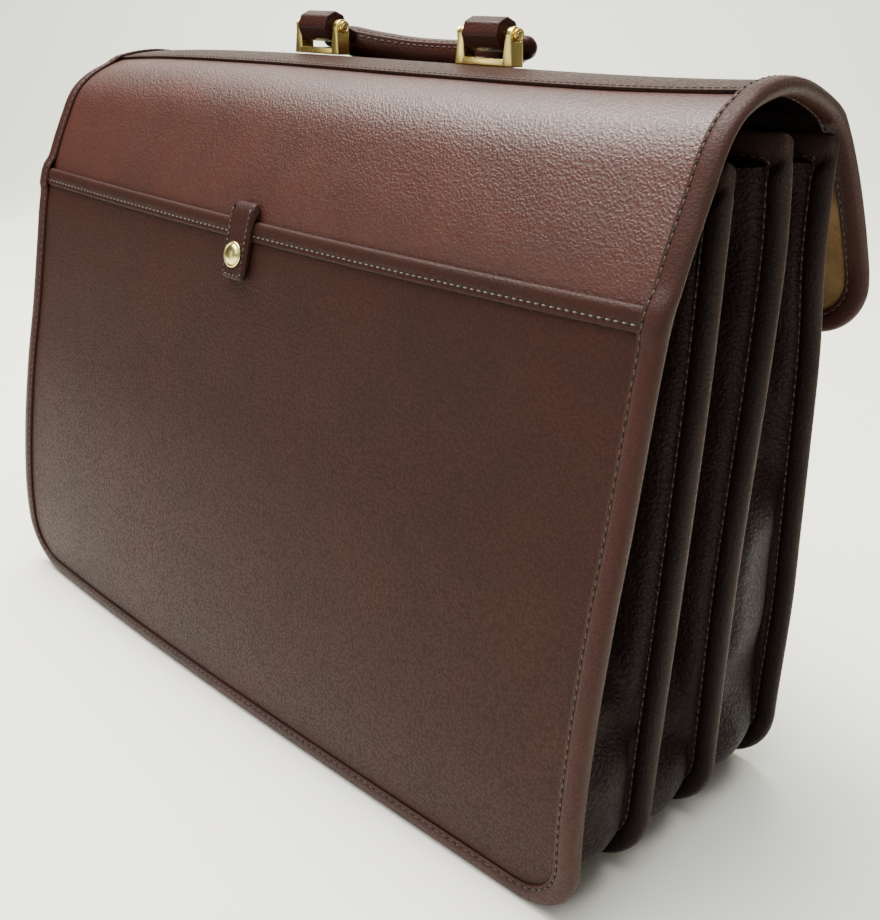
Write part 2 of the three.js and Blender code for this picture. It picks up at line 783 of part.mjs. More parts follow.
// Handle: a rolled grip lying towards the flap, with a leather loop round each pin
function gripGeometry() {
  const path = new THREE.CatmullRomCurve3([
    new THREE.Vector3(-gripEnd, gripEndReach, 0),
    new THREE.Vector3(-0.86 * gripEnd, lerp(gripEndReach, gripReach, 0.17), 0),
    new THREE.Vector3(-0.6 * gripEnd, lerp(gripEndReach, gripReach, 0.62), 0),
    new THREE.Vector3(-0.3 * gripEnd, lerp(gripEndReach, gripReach, 0.93), 0),
    new THREE.Vector3(0, gripReach, 0),
    new THREE.Vector3(0.3 * gripEnd, lerp(gripEndReach, gripReach, 0.93), 0),
    new THREE.Vector3(0.6 * gripEnd, lerp(gripEndReach, gripReach, 0.62), 0),
    new THREE.Vector3(0.86 * gripEnd, lerp(gripEndReach, gripReach, 0.17), 0),
    new THREE.Vector3(gripEnd, gripEndReach, 0),
  ]);
  const steps = 18;
  const sides = 12;
  const liftAxis = new THREE.Vector3(0, 0, 1);
  const rings = [];
  for (let i = 0; i <= steps; i += 1) {
    const share = i / steps;
    const centre = path.getPointAt(share);
    const across = path.getTangentAt(share).cross(liftAxis).normalize();
    const fromEnd = Math.min(share, 1 - share);
    const radius = gripRadius * lerp(0.66, 1, smoothstep(fromEnd, 0, 0.12));
    const ring = [];
    for (let j = 0; j < sides; j += 1) {
      const angle = (2 * Math.PI * j) / sides;
      const point = centre.clone().addScaledVector(across, radius * Math.cos(angle));
      ring.push(point.addScaledVector(liftAxis, radius * Math.sin(angle)));
    }
    rings.push(ring);
  }
  return loft(rings);
}

function loopGeometry() {
  const outline = new THREE.Shape();
  const tabHalf = loopTab / 2;
  const meet = Math.asin(tabHalf / loopRadius);
  outline.absarc(0, 0, loopRadius, meet, 2 * Math.PI - meet, false);
  outline.lineTo(gripEndReach, -tabHalf);
  outline.lineTo(gripEndReach, tabHalf);
  const bore = new THREE.Path();
  bore.absarc(0, 0, pinRadius + pinClearance, 0, 2 * Math.PI, true);
  outline.holes.push(bore);
  const body = new THREE.ExtrudeGeometry(outline, { depth: loopWidth, bevelEnabled: false, curveSegments: 16 });
  const toXRZ = new THREE.Matrix4().makeBasis(
    new THREE.Vector3(0, 1, 0),
    new THREE.Vector3(0, 0, 1),
    new THREE.Vector3(1, 0, 0),
  );
  return body.applyMatrix4(toXRZ);
}

function handleGeometry() {
  let solid = toManifold(gripGeometry());
  for (const { hand } of hands) {
    const loop = loopGeometry().translate(hand * bracketSpacing / 2 - loopWidth / 2, 0, 0);
    solid = solid.add(toManifold(loop));
  }
  return fromManifold(solid);
}
const handle = addPiece("handle", handleGeometry(), leather);
handle.position.copy(pinAxis);
handle.rotation.x = -degToRad(handleDrop);

// Clasp: a plate near the flap's edge and its catch on the front panel
function plateGeometry(width, height, thick, corner) {
  const w = width / 2;
  const h = height / 2;
  const shape = new THREE.Shape();
  shape.moveTo(-w + corner, -h);
  shape.absarc(w - corner, -h + corner, corner, -Math.PI / 2, 0, false);
  shape.absarc(w - corner, h - corner, corner, 0, Math.PI / 2, false);
  shape.absarc(-w + corner, h - corner, corner, Math.PI / 2, Math.PI, false);
  shape.absarc(-w + corner, -h + corner, corner, Math.PI, 1.5 * Math.PI, false);
  return new THREE.ExtrudeGeometry(shape, { depth: thick, bevelEnabled: false, curveSegments: 4 });
}
const clasp = addPiece("flap_clasp", plateGeometry(claspWidth, claspHeight, claspThick, claspCorner), brass);
standOn(clasp, backLeaf, 0, archTop, layerGap);
const catchPlate = addPiece("clasp_catch", plateGeometry(catchWidth, catchHeight, claspThick, claspCorner), brass);
standOn(catchPlate, frontLeaf, 0, catchPlace, -panelThick - 2 * layerGap - claspThick);

// The origin lies on the floor, under the middle of the whole case
const box = new THREE.Box3().setFromObject(caseGroup);
const middle = box.getCenter(new THREE.Vector3());
caseGroup.position.set(-middle.x, -middle.y, -box.min.z);

const documentCase = new THREE.Group();
documentCase.add(caseGroup);
documentCase.updateMatrixWorld(true);

export default documentCase;
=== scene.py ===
# %% [markdown]
# A leather document case, dressed in Blender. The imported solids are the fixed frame: they say where each
# leaf, bellows and bracket is. This lesson gives every one of them its real surface, piece by piece, and
# leaves their places alone.

# %% Load the fixed frame
import math

import bmesh
import bpy
import numpy as np
from mathutils import Matrix, Vector


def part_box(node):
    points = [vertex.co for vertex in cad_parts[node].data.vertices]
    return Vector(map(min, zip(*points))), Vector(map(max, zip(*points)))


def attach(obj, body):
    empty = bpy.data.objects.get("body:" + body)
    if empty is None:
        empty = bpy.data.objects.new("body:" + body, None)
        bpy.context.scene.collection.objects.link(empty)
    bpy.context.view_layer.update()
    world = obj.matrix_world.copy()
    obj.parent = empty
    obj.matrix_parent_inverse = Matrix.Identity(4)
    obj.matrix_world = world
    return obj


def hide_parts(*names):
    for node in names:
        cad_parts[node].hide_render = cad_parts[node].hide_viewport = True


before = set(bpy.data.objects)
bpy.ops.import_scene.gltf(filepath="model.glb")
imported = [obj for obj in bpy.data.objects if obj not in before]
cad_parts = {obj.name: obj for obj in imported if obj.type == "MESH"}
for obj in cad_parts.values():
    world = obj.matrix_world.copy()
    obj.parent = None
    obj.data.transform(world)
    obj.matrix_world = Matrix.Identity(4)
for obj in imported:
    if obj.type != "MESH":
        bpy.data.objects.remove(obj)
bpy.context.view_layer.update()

# %% [markdown]
# The camera stands a little above the case's top and looks down over its right end. A lens and a target
# could be set by eye, but here the place, the heading, the tilt and the small roll are values that can be
# read and changed one at a time. The picture is taller than wide, so its height sets the lens.

# %% Camera at the photograph's angle
PICTURE_HEIGHT = 920
FOCAL_PIXELS = 1127.1
CENTRE_DROP_PIXELS = 73.2
CAMERA_PLACE = (0.4114, -0.3761, 0.3329)
CAMERA_HEADING = 43.94
CAMERA_TILT = 18.23
CAMERA_ROLL = 1.93
SENSOR = 36.0
NEAR_LIMIT = 0.01
FAR_LIMIT = 20.0

camera_data = bpy.data.cameras.new("camera")
camera_data.sensor_width = SENSOR
camera_data.lens = FOCAL_PIXELS / PICTURE_HEIGHT * SENSOR
camera_data.shift_y = -CENTRE_DROP_PIXELS / PICTURE_HEIGHT
camera_data.clip_start = NEAR_LIMIT
camera_data.clip_end = FAR_LIMIT
camera = bpy.data.objects.new("camera", camera_data)
heading = math.radians(CAMERA_HEADING)
tilt = math.radians(CAMERA_TILT)
looks_along = Vector((-math.sin(heading) * math.cos(tilt), math.cos(heading) * math.cos(tilt), -math.sin(tilt)))
roll = Matrix.Rotation(math.radians(CAMERA_ROLL), 4, "Z")
turn = looks_along.to_track_quat("-Z", "Y").to_matrix().to_4x4()
camera.matrix_world = Matrix.Translation(CAMERA_PLACE) @ turn @ roll
bpy.context.scene.collection.objects.link(camera)
bpy.context.scene.camera = camera
print("camera: lens", round(camera_data.lens, 2), "mm")

# %% [markdown]
# The stage is a pale floor that runs on into a pale wall, so there is no horizon line behind the case. A
# big plane and a bare world would be simpler, but the floor's far edge would show as a line.

# %% Floor and backdrop
STAGE_COLOUR = (0.95, 0.95, 0.86, 1.0)
WALL_DISTANCE = 1.6
WALL_BEND = 0.8
WALL_TOP = 6.0
BEND_STEPS = 12
STAGE_REACH = 8.0


def stage_sheet():
    """The floor and wall in one: a strip that bends up behind the case, seen from the camera."""
    away = Vector((-math.sin(heading), math.cos(heading), 0.0))
    side = Vector((away.y, -away.x, 0.0))
    profile = [(-STAGE_REACH, 0.0), (WALL_DISTANCE, 0.0)]
    for step in range(1, BEND_STEPS + 1):
        turn = math.pi / 2 * step / BEND_STEPS
        profile.append((WALL_DISTANCE + WALL_BEND * math.sin(turn), WALL_BEND * (1 - math.cos(turn))))
    profile.append((WALL_DISTANCE + WALL_BEND, WALL_TOP))
    points = []
    for reach, height in profile:
        for hand in (-STAGE_REACH, STAGE_REACH):
            points.append(away * reach + side * hand + Vector((0.0, 0.0, height)))
    faces = [(2 * i, 2 * i + 1, 2 * i + 3, 2 * i + 2) for i in range(len(profile) - 1)]
    return stage_piece("backdrop", points, faces)


def stage_piece(name, points, faces):
    """A mesh that stands round the case and isn't a part of it."""
    mesh = bpy.data.meshes.new(name)
    mesh.from_pydata([tuple(point) for point in points], [], faces)
    piece = bpy.data.objects.new(name, mesh)
    bpy.context.scene.collection.objects.link(piece)
    return piece


def matt_finish(name, colour, roughness):
    """A plain matt material."""
    material = bpy.data.materials.new(name)
    material.use_nodes = True
    shader = material.node_tree.nodes["Principled BSDF"]
    shader.inputs["Base Color"].default_value = colour
    shader.inputs["Roughness"].default_value = roughness
    return material


backdrop = stage_sheet()
backdrop.data.polygons.foreach_set("use_smooth", [True] * len(backdrop.data.polygons))
backdrop.data.materials.append(matt_finish("stage", STAGE_COLOUR, 0.9))
print("stage:", len(backdrop.data.polygons), "faces of floor and wall")

# %% [markdown]
# A soft world light fills the shadows, and large area lights give leather its long, soft highlights. The
# skylight is placed where the upper right of the back mirrors it, and the small brass light where the
# brackets do: polished metal looks like what it reflects, so it needs something bright to see.

# %% World and lights
WORLD_COLOUR = (1.0, 0.985, 0.94, 1.0)
WORLD_STRENGTH = 0.42
WHITE = (1.0, 1.0, 1.0)
LIGHTS = (
    ("ceiling", (-0.3, -0.3, 2.3), (0.0, 0.0, 0.0), 2.2, 122.0, WHITE),
    ("skylight", (-0.62, -0.12, 1.55), (0.15, 0.03, 0.27), 0.75, 32.0, (1.0, 0.93, 0.84)),
    ("window", (0.6, -1.8, 1.8), (0.0, 0.0, 0.2), 1.4, 14.0, WHITE),
    ("brass_light", (-1.2, -1.3, 0.42), (0.0, 0.0, 0.33), 0.5, 1.4, (1.0, 0.97, 0.85)),
    ("wall_light", (-0.5, 0.5, 2.6), (-1.6, 1.7, 0.7), 1.2, 55.0, (1.0, 1.0, 0.93)),
)


def area_light(name, place, target, size, power, colour):
    """A square soft light that faces its target."""
    data = bpy.data.lights.new(name, "AREA")
    data.size = size
    data.energy = power
    data.color = colour
    lamp = bpy.data.objects.new(name, data)
    lamp.location = place
    lamp.rotation_mode = "QUATERNION"
    lamp.rotation_quaternion = (Vector(target) - Vector(place)).to_track_quat("-Z", "Y")
    bpy.context.scene.collection.objects.link(lamp)


world = bpy.data.worlds.new("soft_room")
world.use_nodes = True
world.node_tree.nodes["Background"].inputs["Color"].default_value = WORLD_COLOUR
world.node_tree.nodes["Background"].inputs["Strength"].default_value = WORLD_STRENGTH
bpy.context.scene.world = world
for light in LIGHTS:
    area_light(*light)
print("lights:", ", ".join(light[0] for light in LIGHTS))

# %% [markdown]
# Photographers stand dark boards beside a glossy thing to keep stray light off its ends. Two of them, one
# past each end of the case, make its right edges and its lower left darker. A darker world would do that
# too, but everywhere at once. Their camera visibility is off, so they never stand in a view.

# %% Dark boards
FELT_COLOUR = (0.03, 0.027, 0.024, 1.0)
BOARDS = (("right_board", 0.8, (-0.4, 1.4), 1.3), ("left_board", -1.25, (-1.4, 0.3), 1.25))

felt = matt_finish("felt", FELT_COLOUR, 0.95)
for name, x, (low_y, high_y), height in BOARDS:
    corners = [(x, low_y, 0.0), (x, high_y, 0.0), (x, high_y, height), (x, low_y, height)]
    board = stage_piece(name, corners, [(0, 3, 2, 1)])
    board.data.materials.append(felt)
    board.visible_camera = False
print("boards:", len(BOARDS))

# %% [markdown]
# All lengths below are millimetres, as a leather worker would write them, and become metres when a mesh is
# made. The case is drawn flat first: x across a leaf, s up along its leather from the foot, and n out of
# its face. A side profile then bends the flat leaf into its upright shape. The same idea would work with a
# Simple Deform or a lattice, but a rule in code lets every layer, edge and stitch follow one surface.

# %% Sizes of the case
MM = 0.001
CASE_WIDTH = 430.0
CASE_HEIGHT = 310.5
FLAP_REACH = 182.0
FRONT_REACH = 147.5
DIVIDER_HEIGHT = 297.0
FRONT_HEIGHT = 295.0
FOOT_CORNER = 31.0
FLAP_CORNER = 26.0
DIVIDER_CORNER = 4.0
BELLY_BOW = 5.0
BELLY_SKEW = 0.4
END_FLARE = 4.5
FAR_END_SAG = 3.0
SQUARE_FOOT = 18.0
POCKET_HEIGHT = 241.0
POCKET_DIP = 3.0
GUSSET_TOP_DROP = 12.0
BACK_GUSSET_HEIGHT = 284.0
HANDLE_DEPTH = 103.0
STRIP_WIDTH = 62.0
PANEL_THICK = 1.5
DIVIDER_THICK = 1.2
SOFT_THICK = 1.0
STRIP_THICK = 1.2
GAP = 0.3
EDGE_INSET = 1.5
BINDING_WIDTH = 7.5
EDGE_WIDTH = 10.0
TIGHT_CORNER = 0.8
print("case:", CASE_WIDTH, "wide,", CASE_HEIGHT, "high and", FLAP_REACH, "mm deep over the flap")

# %% [markdown]
# Each row of a side profile is a share of the leaf's reach and a share of its height, foot first, read off
# the case's right end. The long panel goes up the back, over the top and down the front as the flap.

# %% Side profiles
BACK_PROFILE = [
    (0.016, 0.0), (-0.002, 0.08), (-0.008, 0.16), (0.007, 0.29), (0.036, 0.418), (0.07, 0.53),
    (0.099, 0.643), (0.12, 0.722), (0.148, 0.788), (0.203, 0.868), (0.264, 0.936), (0.33, 0.972),
    (0.423, 0.992), (0.56, 1.0), (0.68, 0.986), (0.75, 0.962), (0.81, 0.921), (0.88, 0.859),
    (0.942, 0.793), (0.975, 0.749), (1.0, 0.656),
]
NEAR_PROFILE = [(0.296, 0.0), (0.312, 0.18), (0.342, 0.42), (0.37, 0.7), (0.375, 0.973)]
FAR_PROFILE = [(0.633, 0.0), (0.627, 0.18), (0.629, 0.4), (0.664, 0.73), (0.666, 0.86), (0.628, 1.0)]
FRONT_PROFILE = [
    (0.992, 0.0), (0.988, 0.12), (1.0, 0.3), (0.985, 0.42), (0.966, 0.56), (0.943, 0.7),
    (0.892, 0.84), (0.876, 1.0),
]
print("back profile:", len(BACK_PROFILE), "rows")

# %% [markdown]
# A leaf's profile is a smooth curve through its few table rows. A centripetal Catmull-Rom curve passes
# through each row and doesn't overshoot between uneven ones, which a plain spline would. It is walked in
# small steps once, so that later any s can be looked up by its length along the leather.

# %% Soft steps and smooth curves
SPINE_STEPS = 48


def smoothstep(value, low, high):
    """0 below low, 1 above high and a soft S in between."""
    t = np.clip((np.asarray(value, float) - low) / (high - low), 0.0, 1.0)
    return t * t * (3.0 - 2.0 * t)


def band(s, start, full, fading, end):
    """1 between full and fading, 0 outside start and end, with a soft S on both sides."""
    return smoothstep(s, start, full) * (1 - smoothstep(s, fading, end))


def smooth_curve(points, steps=SPINE_STEPS):
    """Points along a centripetal Catmull-Rom curve through the given ones."""
    p = np.asarray(points, float)
    ends = np.vstack([2 * p[0] - p[1], p, 2 * p[-1] - p[-2]])
    knots = np.sqrt(np.linalg.norm(np.diff(ends, axis=0), axis=1))
    found = []
    for i in range(len(p) - 1):
        p0, p1, p2, p3 = ends[i:i + 4]
        d0, d1, d2 = knots[i:i + 3]
        m1 = ((p1 - p0) / d0 - (p2 - p0) / (d0 + d1) + (p2 - p1) / d1) * d1
        m2 = ((p2 - p1) / d1 - (p3 - p1) / (d1 + d2) + (p3 - p2) / d2) * d1
        t = np.linspace(0.0, 1.0, steps, endpoint=False)[:, None]
        cubic = 2 * t ** 3 - 3 * t ** 2 + 1
        found.append(cubic * p1 + (t ** 3 - 2 * t ** 2 + t) * m1 + (1 - cubic) * p2 + (t ** 3 - t ** 2) * m2)
    return np.vstack([*found, p[-1:]])


print("curve of the back profile:", len(smooth_curve(BACK_PROFILE)), "points")

# %% [markdown]
# One rule bends the flat leather: it takes flat places and gives places in space. A layer, an edge and a
# seam that ask it for the same flat place get the same surface. Near the foot the offsets stay level, so
# that every layer ends on the floor. The same class knows a leaf's outline, drawn in by any inset.

# %% A leaf: from flat places to places in space
STATION_STEP = 0.5


class Leaf:
    """One upright leaf of the case, drawn flat and bent along its side profile."""

    def __init__(self, profile, reach, height, head_corner, bulge=None):
        self.path = smooth_curve([(depth * reach, rise * height) for depth, rise in profile])
        steps = np.linalg.norm(np.diff(self.path, axis=0), axis=1)
        self.run = np.concatenate([[0.0], np.cumsum(steps)])
        self.length = float(self.run[-1])
        self.slope = np.gradient(self.path, self.run, axis=0)
        self.head_corner = head_corner
        self.bulge = bulge

    def place(self, x, s, n):
        """Points in space for flat places, all arrays or numbers that go together."""
        x, s, n = np.broadcast_arrays(np.asarray(x, float), np.asarray(s, float), np.asarray(n, float))
        at = np.clip(s, 0.0, self.length)
        y = np.interp(at, self.run, self.path[:, 0])
        z = np.interp(at, self.run, self.path[:, 1])
        lean = np.interp(at, self.run, self.slope[:, 0]) * smoothstep(s, 0.0, SQUARE_FOOT)
        rise = np.interp(at, self.run, self.slope[:, 1])
        size = np.hypot(lean, rise)
        out = n if self.bulge is None else n + self.bulge(x, s)
        return np.stack([x, y - rise / size * out, z + lean / size * out], axis=-1)

    def station_where(self, test):
        """How far up the leather the first point lies that passes the test."""
        for s in np.arange(0.0, self.length, STATION_STEP):
            y = np.interp(s, self.run, self.path[:, 0])
            z = np.interp(s, self.run, self.path[:, 1])
            if test(y, z):
                return float(s)
        return self.length

    def half_width(self, s, inset):
        """Half the leaf's width at s, drawn in by inset, with its corners rounded."""
        s = np.asarray(s, float)
        foot = max(FOOT_CORNER - inset, TIGHT_CORNER)
        head = max(self.head_corner - inset, TIGHT_CORNER)
        below = np.clip(inset + foot - s, 0.0, foot)
        above = np.clip(s - (self.length - inset - head), 0.0, head)
        lost_low = foot - np.sqrt(foot ** 2 - below ** 2)
        lost_high = head - np.sqrt(head ** 2 - above ** 2)
        return CASE_WIDTH / 2 - inset - np.where(below > 0, lost_low, lost_high)

    def outline(self, inset, side_steps=120, end_steps=60, corner_steps=12):
        """Flat places round the whole leaf: up the right side, over, down the left and along the foot."""
        foot = max(FOOT_CORNER - inset, TIGHT_CORNER)
        head = max(self.head_corner - inset, TIGHT_CORNER)
        half = CASE_WIDTH / 2 - inset
        low = inset + foot
        high = self.length - inset - head
        sides = np.linspace(0.0, 1.0, side_steps, endpoint=False)
        ends = np.linspace(0.0, 1.0, end_steps, endpoint=False)
        turns = np.linspace(0.0, math.pi / 2, corner_steps, endpoint=False)
        parts = [
            (np.full(side_steps, half), low + (high - low) * sides),
            (half - head + head * np.cos(turns), high + head * np.sin(turns)),
            ((half - head) * (1 - 2 * ends), np.full(end_steps, self.length - inset)),
            (-half + head - head * np.sin(turns), high + head * np.cos(turns)),
            (np.full(side_steps, -half), high - (high - low) * sides),
            (-half + foot - foot * np.cos(turns), low - foot * np.sin(turns)),
            ((half - foot) * (2 * ends - 1), np.full(end_steps, inset)),
            (half - foot + foot * np.sin(turns), low - foot * np.cos(turns)),
        ]
        return np.concatenate([x for x, _ in parts]), np.concatenate([s for _, s in parts])

    def outline_at(self, insets):
        """The same places, where each has its own inset."""
        x, s = np.zeros(len(insets)), np.zeros(len(insets))
        for inset in np.unique(np.round(insets, 4)):
            at_x, at_s = self.outline(float(inset))
            pick = np.round(insets, 4) == inset
            x[pick], s[pick] = at_x[pick], at_s[pick]
        return x, s


print("the rule for a leaf is ready")

# %% [markdown]
# A used case is never quite square. The back bows out over the pocket, the right end of the top flares up,
# and the left end sags. These lifts are added along the leather's own normal, so every layer shares them.

# %% The four leaves
def back_bulge(x, s):
    """The lower back bows out, the right end of the top flares up and the left end sags."""
    end = x / (CASE_WIDTH / 2)
    low = 1 - smoothstep(s, 0.2 * POCKET_HEIGHT, 1.05 * POCKET_HEIGHT)
    belly = BELLY_BOW * (1 - end ** 2) * (1 - BELLY_SKEW * end) * low
    rise = smoothstep(s, BACK_GUSSET_HEIGHT, CASE_HEIGHT + 0.05 * FLAP_REACH)
    fall = 1 - smoothstep(s, CASE_HEIGHT + 0.15 * FLAP_REACH, CASE_HEIGHT + 0.4 * FLAP_REACH)
    late_fall = 1 - smoothstep(s, CASE_HEIGHT + 0.4 * FLAP_REACH, CASE_HEIGHT + 0.75 * FLAP_REACH)
    flare = END_FLARE * end ** 4 * fall
    sag = -FAR_END_SAG * end ** 2 * (1 + end ** 4) * late_fall
    return belly + np.where(end > 0, flare, sag) * rise


back = Leaf(BACK_PROFILE, FLAP_REACH, CASE_HEIGHT, FLAP_CORNER, back_bulge)
near = Leaf(NEAR_PROFILE, FRONT_REACH, DIVIDER_HEIGHT, DIVIDER_CORNER)
far = Leaf(FAR_PROFILE, FRONT_REACH, DIVIDER_HEIGHT, DIVIDER_CORNER)
front = Leaf(FRONT_PROFILE, FRONT_REACH, FRONT_HEIGHT, DIVIDER_CORNER)

pocket_top = back.station_where(lambda y, z: z >= POCKET_HEIGHT)
back_gusset_top = back.station_where(lambda y, z: z >= BACK_GUSSET_HEIGHT)
handle_station = back.station_where(lambda y, z: y >= HANDLE_DEPTH)
strip_start = handle_station - STRIP_WIDTH / 2
strip_end = handle_station + STRIP_WIDTH / 2

COVER = GAP + SOFT_THICK
HEM_LAYER = 2.7
POCKET_LAYER = GAP + SOFT_THICK
STRIP_LAYER = GAP + STRIP_THICK
case_shift = np.array([0.0, NEAR_PROFILE[0][0] * FRONT_REACH - 2 * COVER, 0.0])
case_shift[1] -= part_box("near_divider_binding")[0].y / MM
UPRIGHTS = (
    ("near", near, DIVIDER_THICK, True, "near_divider"),
    ("far", far, DIVIDER_THICK, True, "far_divider"),
    ("front", front, PANEL_THICK, False, "front_panel"),
)
lengths = [round(leaf.length) for leaf in (back, near, far, front)]
print("leaf lengths:", lengths, "shift", round(case_shift[1], 2))

# %% [markdown]
# Every soft piece is a sheet between two grids of points, closed round its rim. Solidify would do this
# too, but here both faces come from the same rule, so the layers stay parallel where the leather bends.

# %% From grids of points to closed meshes
SHARP_ANGLE = math.radians(42)


def grid_faces(rows, columns, start, wrap, flip):
    """Quads of one grid of points, joined to itself along its rows where wrap is true."""
    i = np.arange(rows if wrap else rows - 1)
    a = (i[:, None] % rows) * columns + np.arange(columns - 1)[None, :]
    b = ((i[:, None] + 1) % rows) * columns + np.arange(columns - 1)[None, :]
    quads = np.stack([a, a + 1, b + 1, b], axis=-1).reshape(-1, 4) + start
    return quads[:, ::-1] if flip else quads


def add_mesh(name, points, faces, body, material, nodes=()):
    """A piece of the case: its mesh in metres, with its finish, riding on its body."""
    points = (np.asarray(points, float).reshape(-1, 3) - case_shift) * MM
    mesh = bpy.data.meshes.new(name)
    mesh.from_pydata(points.tolist(), [], [tuple(int(i) for i in face) for face in faces])
    volume = 0.0
    for polygon in mesh.polygons:
        volume += polygon.center.dot(polygon.normal) * polygon.area
    if volume < 0:
        mesh.flip_normals()
    mesh.polygons.foreach_set("use_smooth", [True] * len(mesh.polygons))
    mesh.set_sharp_from_angle(angle=SHARP_ANGLE)
    piece = bpy.data.objects.new(name, mesh)
    bpy.context.scene.collection.objects.link(piece)
    mesh.materials.append(material)
    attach(piece, body)
    if nodes:
        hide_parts(*nodes)
    print(name, len(mesh.polygons), "faces")
    return piece


def sheet_faces(rows, columns):
    """Faces of a sheet whose points are its outer grid and then its inner grid, closed round the rim."""
    count = rows * columns
    here = np.arange(rows - 1) * columns
    there = here + columns
    last = columns - 1
    j = np.arange(last)
    top = (rows - 1) * columns
    return np.concatenate([
        grid_faces(rows, columns, 0, False, False),
        grid_faces(rows, columns, count, False, True),
        np.stack([there, there + count, here + count, here], axis=-1),
        np.stack([here + last, here + last + count, there + last + count, there + last], axis=-1),
        np.stack([j, j + count, j + 1 + count, j + 1], axis=-1),
        np.stack([top + j + 1, top + j + 1 + count, top + j + count, top + j], axis=-1),
    ])


print("a sheet of 3 by 3 points has", len(sheet_faces(3, 3)), "faces")


# %% [markdown]
# Every finish below is a small tree of shader nodes on the Principled shader. Wiring them by hand in the
# Shader Editor is the usual way; here a small class adds and joins them, so each recipe stays short. All
# patterns read the object's own coordinates, so they lie still when the handle turns.

# %% A small helper for node materials
class Finish:
    """A new material with short calls for adding and joining nodes."""

    def __init__(self, name, roughness=0.5, metallic=0.0, colour=(0.5, 0.5, 0.5)):
        self.material = bpy.data.materials.new(name)
        self.material.use_nodes = True
        self.tree = self.material.node_tree
        self.shader = self.tree.nodes["Principled BSDF"]
        self.shader.inputs["Roughness"].default_value = roughness
        self.shader.inputs["Metallic"].default_value = metallic
        self.shader.inputs["Base Color"].default_value = (*colour, 1.0)
        self.place = self.add("ShaderNodeTexCoord").outputs["Object"]

    def add(self, kind, **values):
        """A node with its own settings."""
        node = self.tree.nodes.new(kind)
        for name, value in values.items():
            setattr(node, name, value)
        return node

    def join(self, out, into):
        """A link from one node's output to another's input."""
        self.tree.links.new(out, into)

    def noise(self, scale, detail=3.0, rough=0.5):
        """A soft noise over the object. A larger scale makes it finer."""
        node = self.add("ShaderNodeTexNoise")
        node.inputs["Scale"].default_value = scale
        node.inputs["Detail"].default_value = detail
        node.inputs["Roughness"].default_value = rough
        self.join(self.place, node.inputs["Vector"])
        return node.outputs["Fac"]

    def bent(self, scale, amount):
        """The object's coordinates, pushed about by a soft noise."""
        noise = self.add("ShaderNodeTexNoise")
        noise.inputs["Scale"].default_value = scale
        noise.inputs["Detail"].default_value = 2.0
        self.join(self.place, noise.inputs["Vector"])
        move = self.add("ShaderNodeVectorMath", operation="MULTIPLY_ADD")
        move.inputs[1].default_value = (amount, amount, amount)
        self.join(noise.outputs["Color"], move.inputs[0])
        self.join(self.place, move.inputs[2])
        return move.outputs["Vector"]

    def cells(self, scale, at):
        """How far each place is from the middle of its cell."""
        node = self.add("ShaderNodeTexVoronoi", feature="F1")
        node.inputs["Scale"].default_value = scale
        self.join(at, node.inputs["Vector"])
        return node.outputs["Distance"]

    def ramp(self, value, low, high, start=0.0, end=1.0):
        """A value moved from one range to another and held inside it."""
        node = self.add("ShaderNodeMapRange", clamp=True, interpolation_type="SMOOTHSTEP")
        node.inputs["From Min"].default_value = low
        node.inputs["From Max"].default_value = high
        node.inputs["To Min"].default_value = start
        node.inputs["To Max"].default_value = end
        self.join(value, node.inputs["Value"])
        return node.outputs["Result"]

    def sum(self, *terms):
        """Values added up, each with its weight."""
        total = None
        for value, weight in terms:
            node = self.add("ShaderNodeMath", operation="MULTIPLY_ADD")
            self.join(value, node.inputs[0])
            node.inputs[1].default_value = weight
            if total is None:
                node.inputs[2].default_value = 0.0
            else:
                self.join(total, node.inputs[2])
            total = node.outputs["Value"]
        return total

    def blend(self, value, dark, light):
        """A colour between two, by a value from 0 to 1. Each may be a colour or another node's output."""
        node = self.add("ShaderNodeMix", data_type="RGBA")
        self.join(value, node.inputs[0])
        for socket, colour in ((node.inputs[6], dark), (node.inputs[7], light)):
            if isinstance(colour, tuple):
                socket.default_value = (*colour, 1.0)
            else:
                self.join(colour, socket)
        return node.outputs[2]

    def height(self):
        """How high each place is."""
        split = self.add("ShaderNodeSeparateXYZ")
        self.join(self.place, split.inputs["Vector"])
        return split.outputs["Z"]

    def bump(self, value, depth):
        """A value as small heights on the surface, up to depth in metres."""
        node = self.add("ShaderNodeBump")
        node.inputs["Strength"].default_value = 1.0
        node.inputs["Distance"].default_value = depth
        self.join(value, node.inputs["Height"])
        self.join(node.outputs["Normal"], self.shader.inputs["Normal"])


print("material helper ready")

# %% [markdown]
# The leather is drum-dyed cowhide with a pebbled grain: rounded cells with dark valleys, 2 to 3 mm across
# on the loose upper part and tighter and flatter where it was pressed smooth. Voronoi cells give the
# pebbles, a slow noise bends them so that they don't look like a net, and a second, finer noise is the
# skin's own pores. Colour, roughness and height all read the same cells, so a valley is dark, matt and low
# at once. A picture of leather would be quicker, but it would repeat and stretch.

# %% Grained leather
LEATHER_DARK = (0.0150, 0.0046, 0.0031)
LEATHER_LIGHT = (0.026, 0.0080, 0.0052)
LEATHER_RED = (0.0305, 0.0079, 0.0047)
PANEL_DARK = (0.025, 0.0063, 0.0040)
PANEL_LIGHT = (0.050, 0.0126, 0.0074)
PANEL_RED = (0.058, 0.0130, 0.0070)
BEND_SCALE = 200.0
BEND_AMOUNT = 0.0018
PORE_SCALE = 3200.0
PATCH_SCALE = 9.0
STREAK_SCALE = 38.0


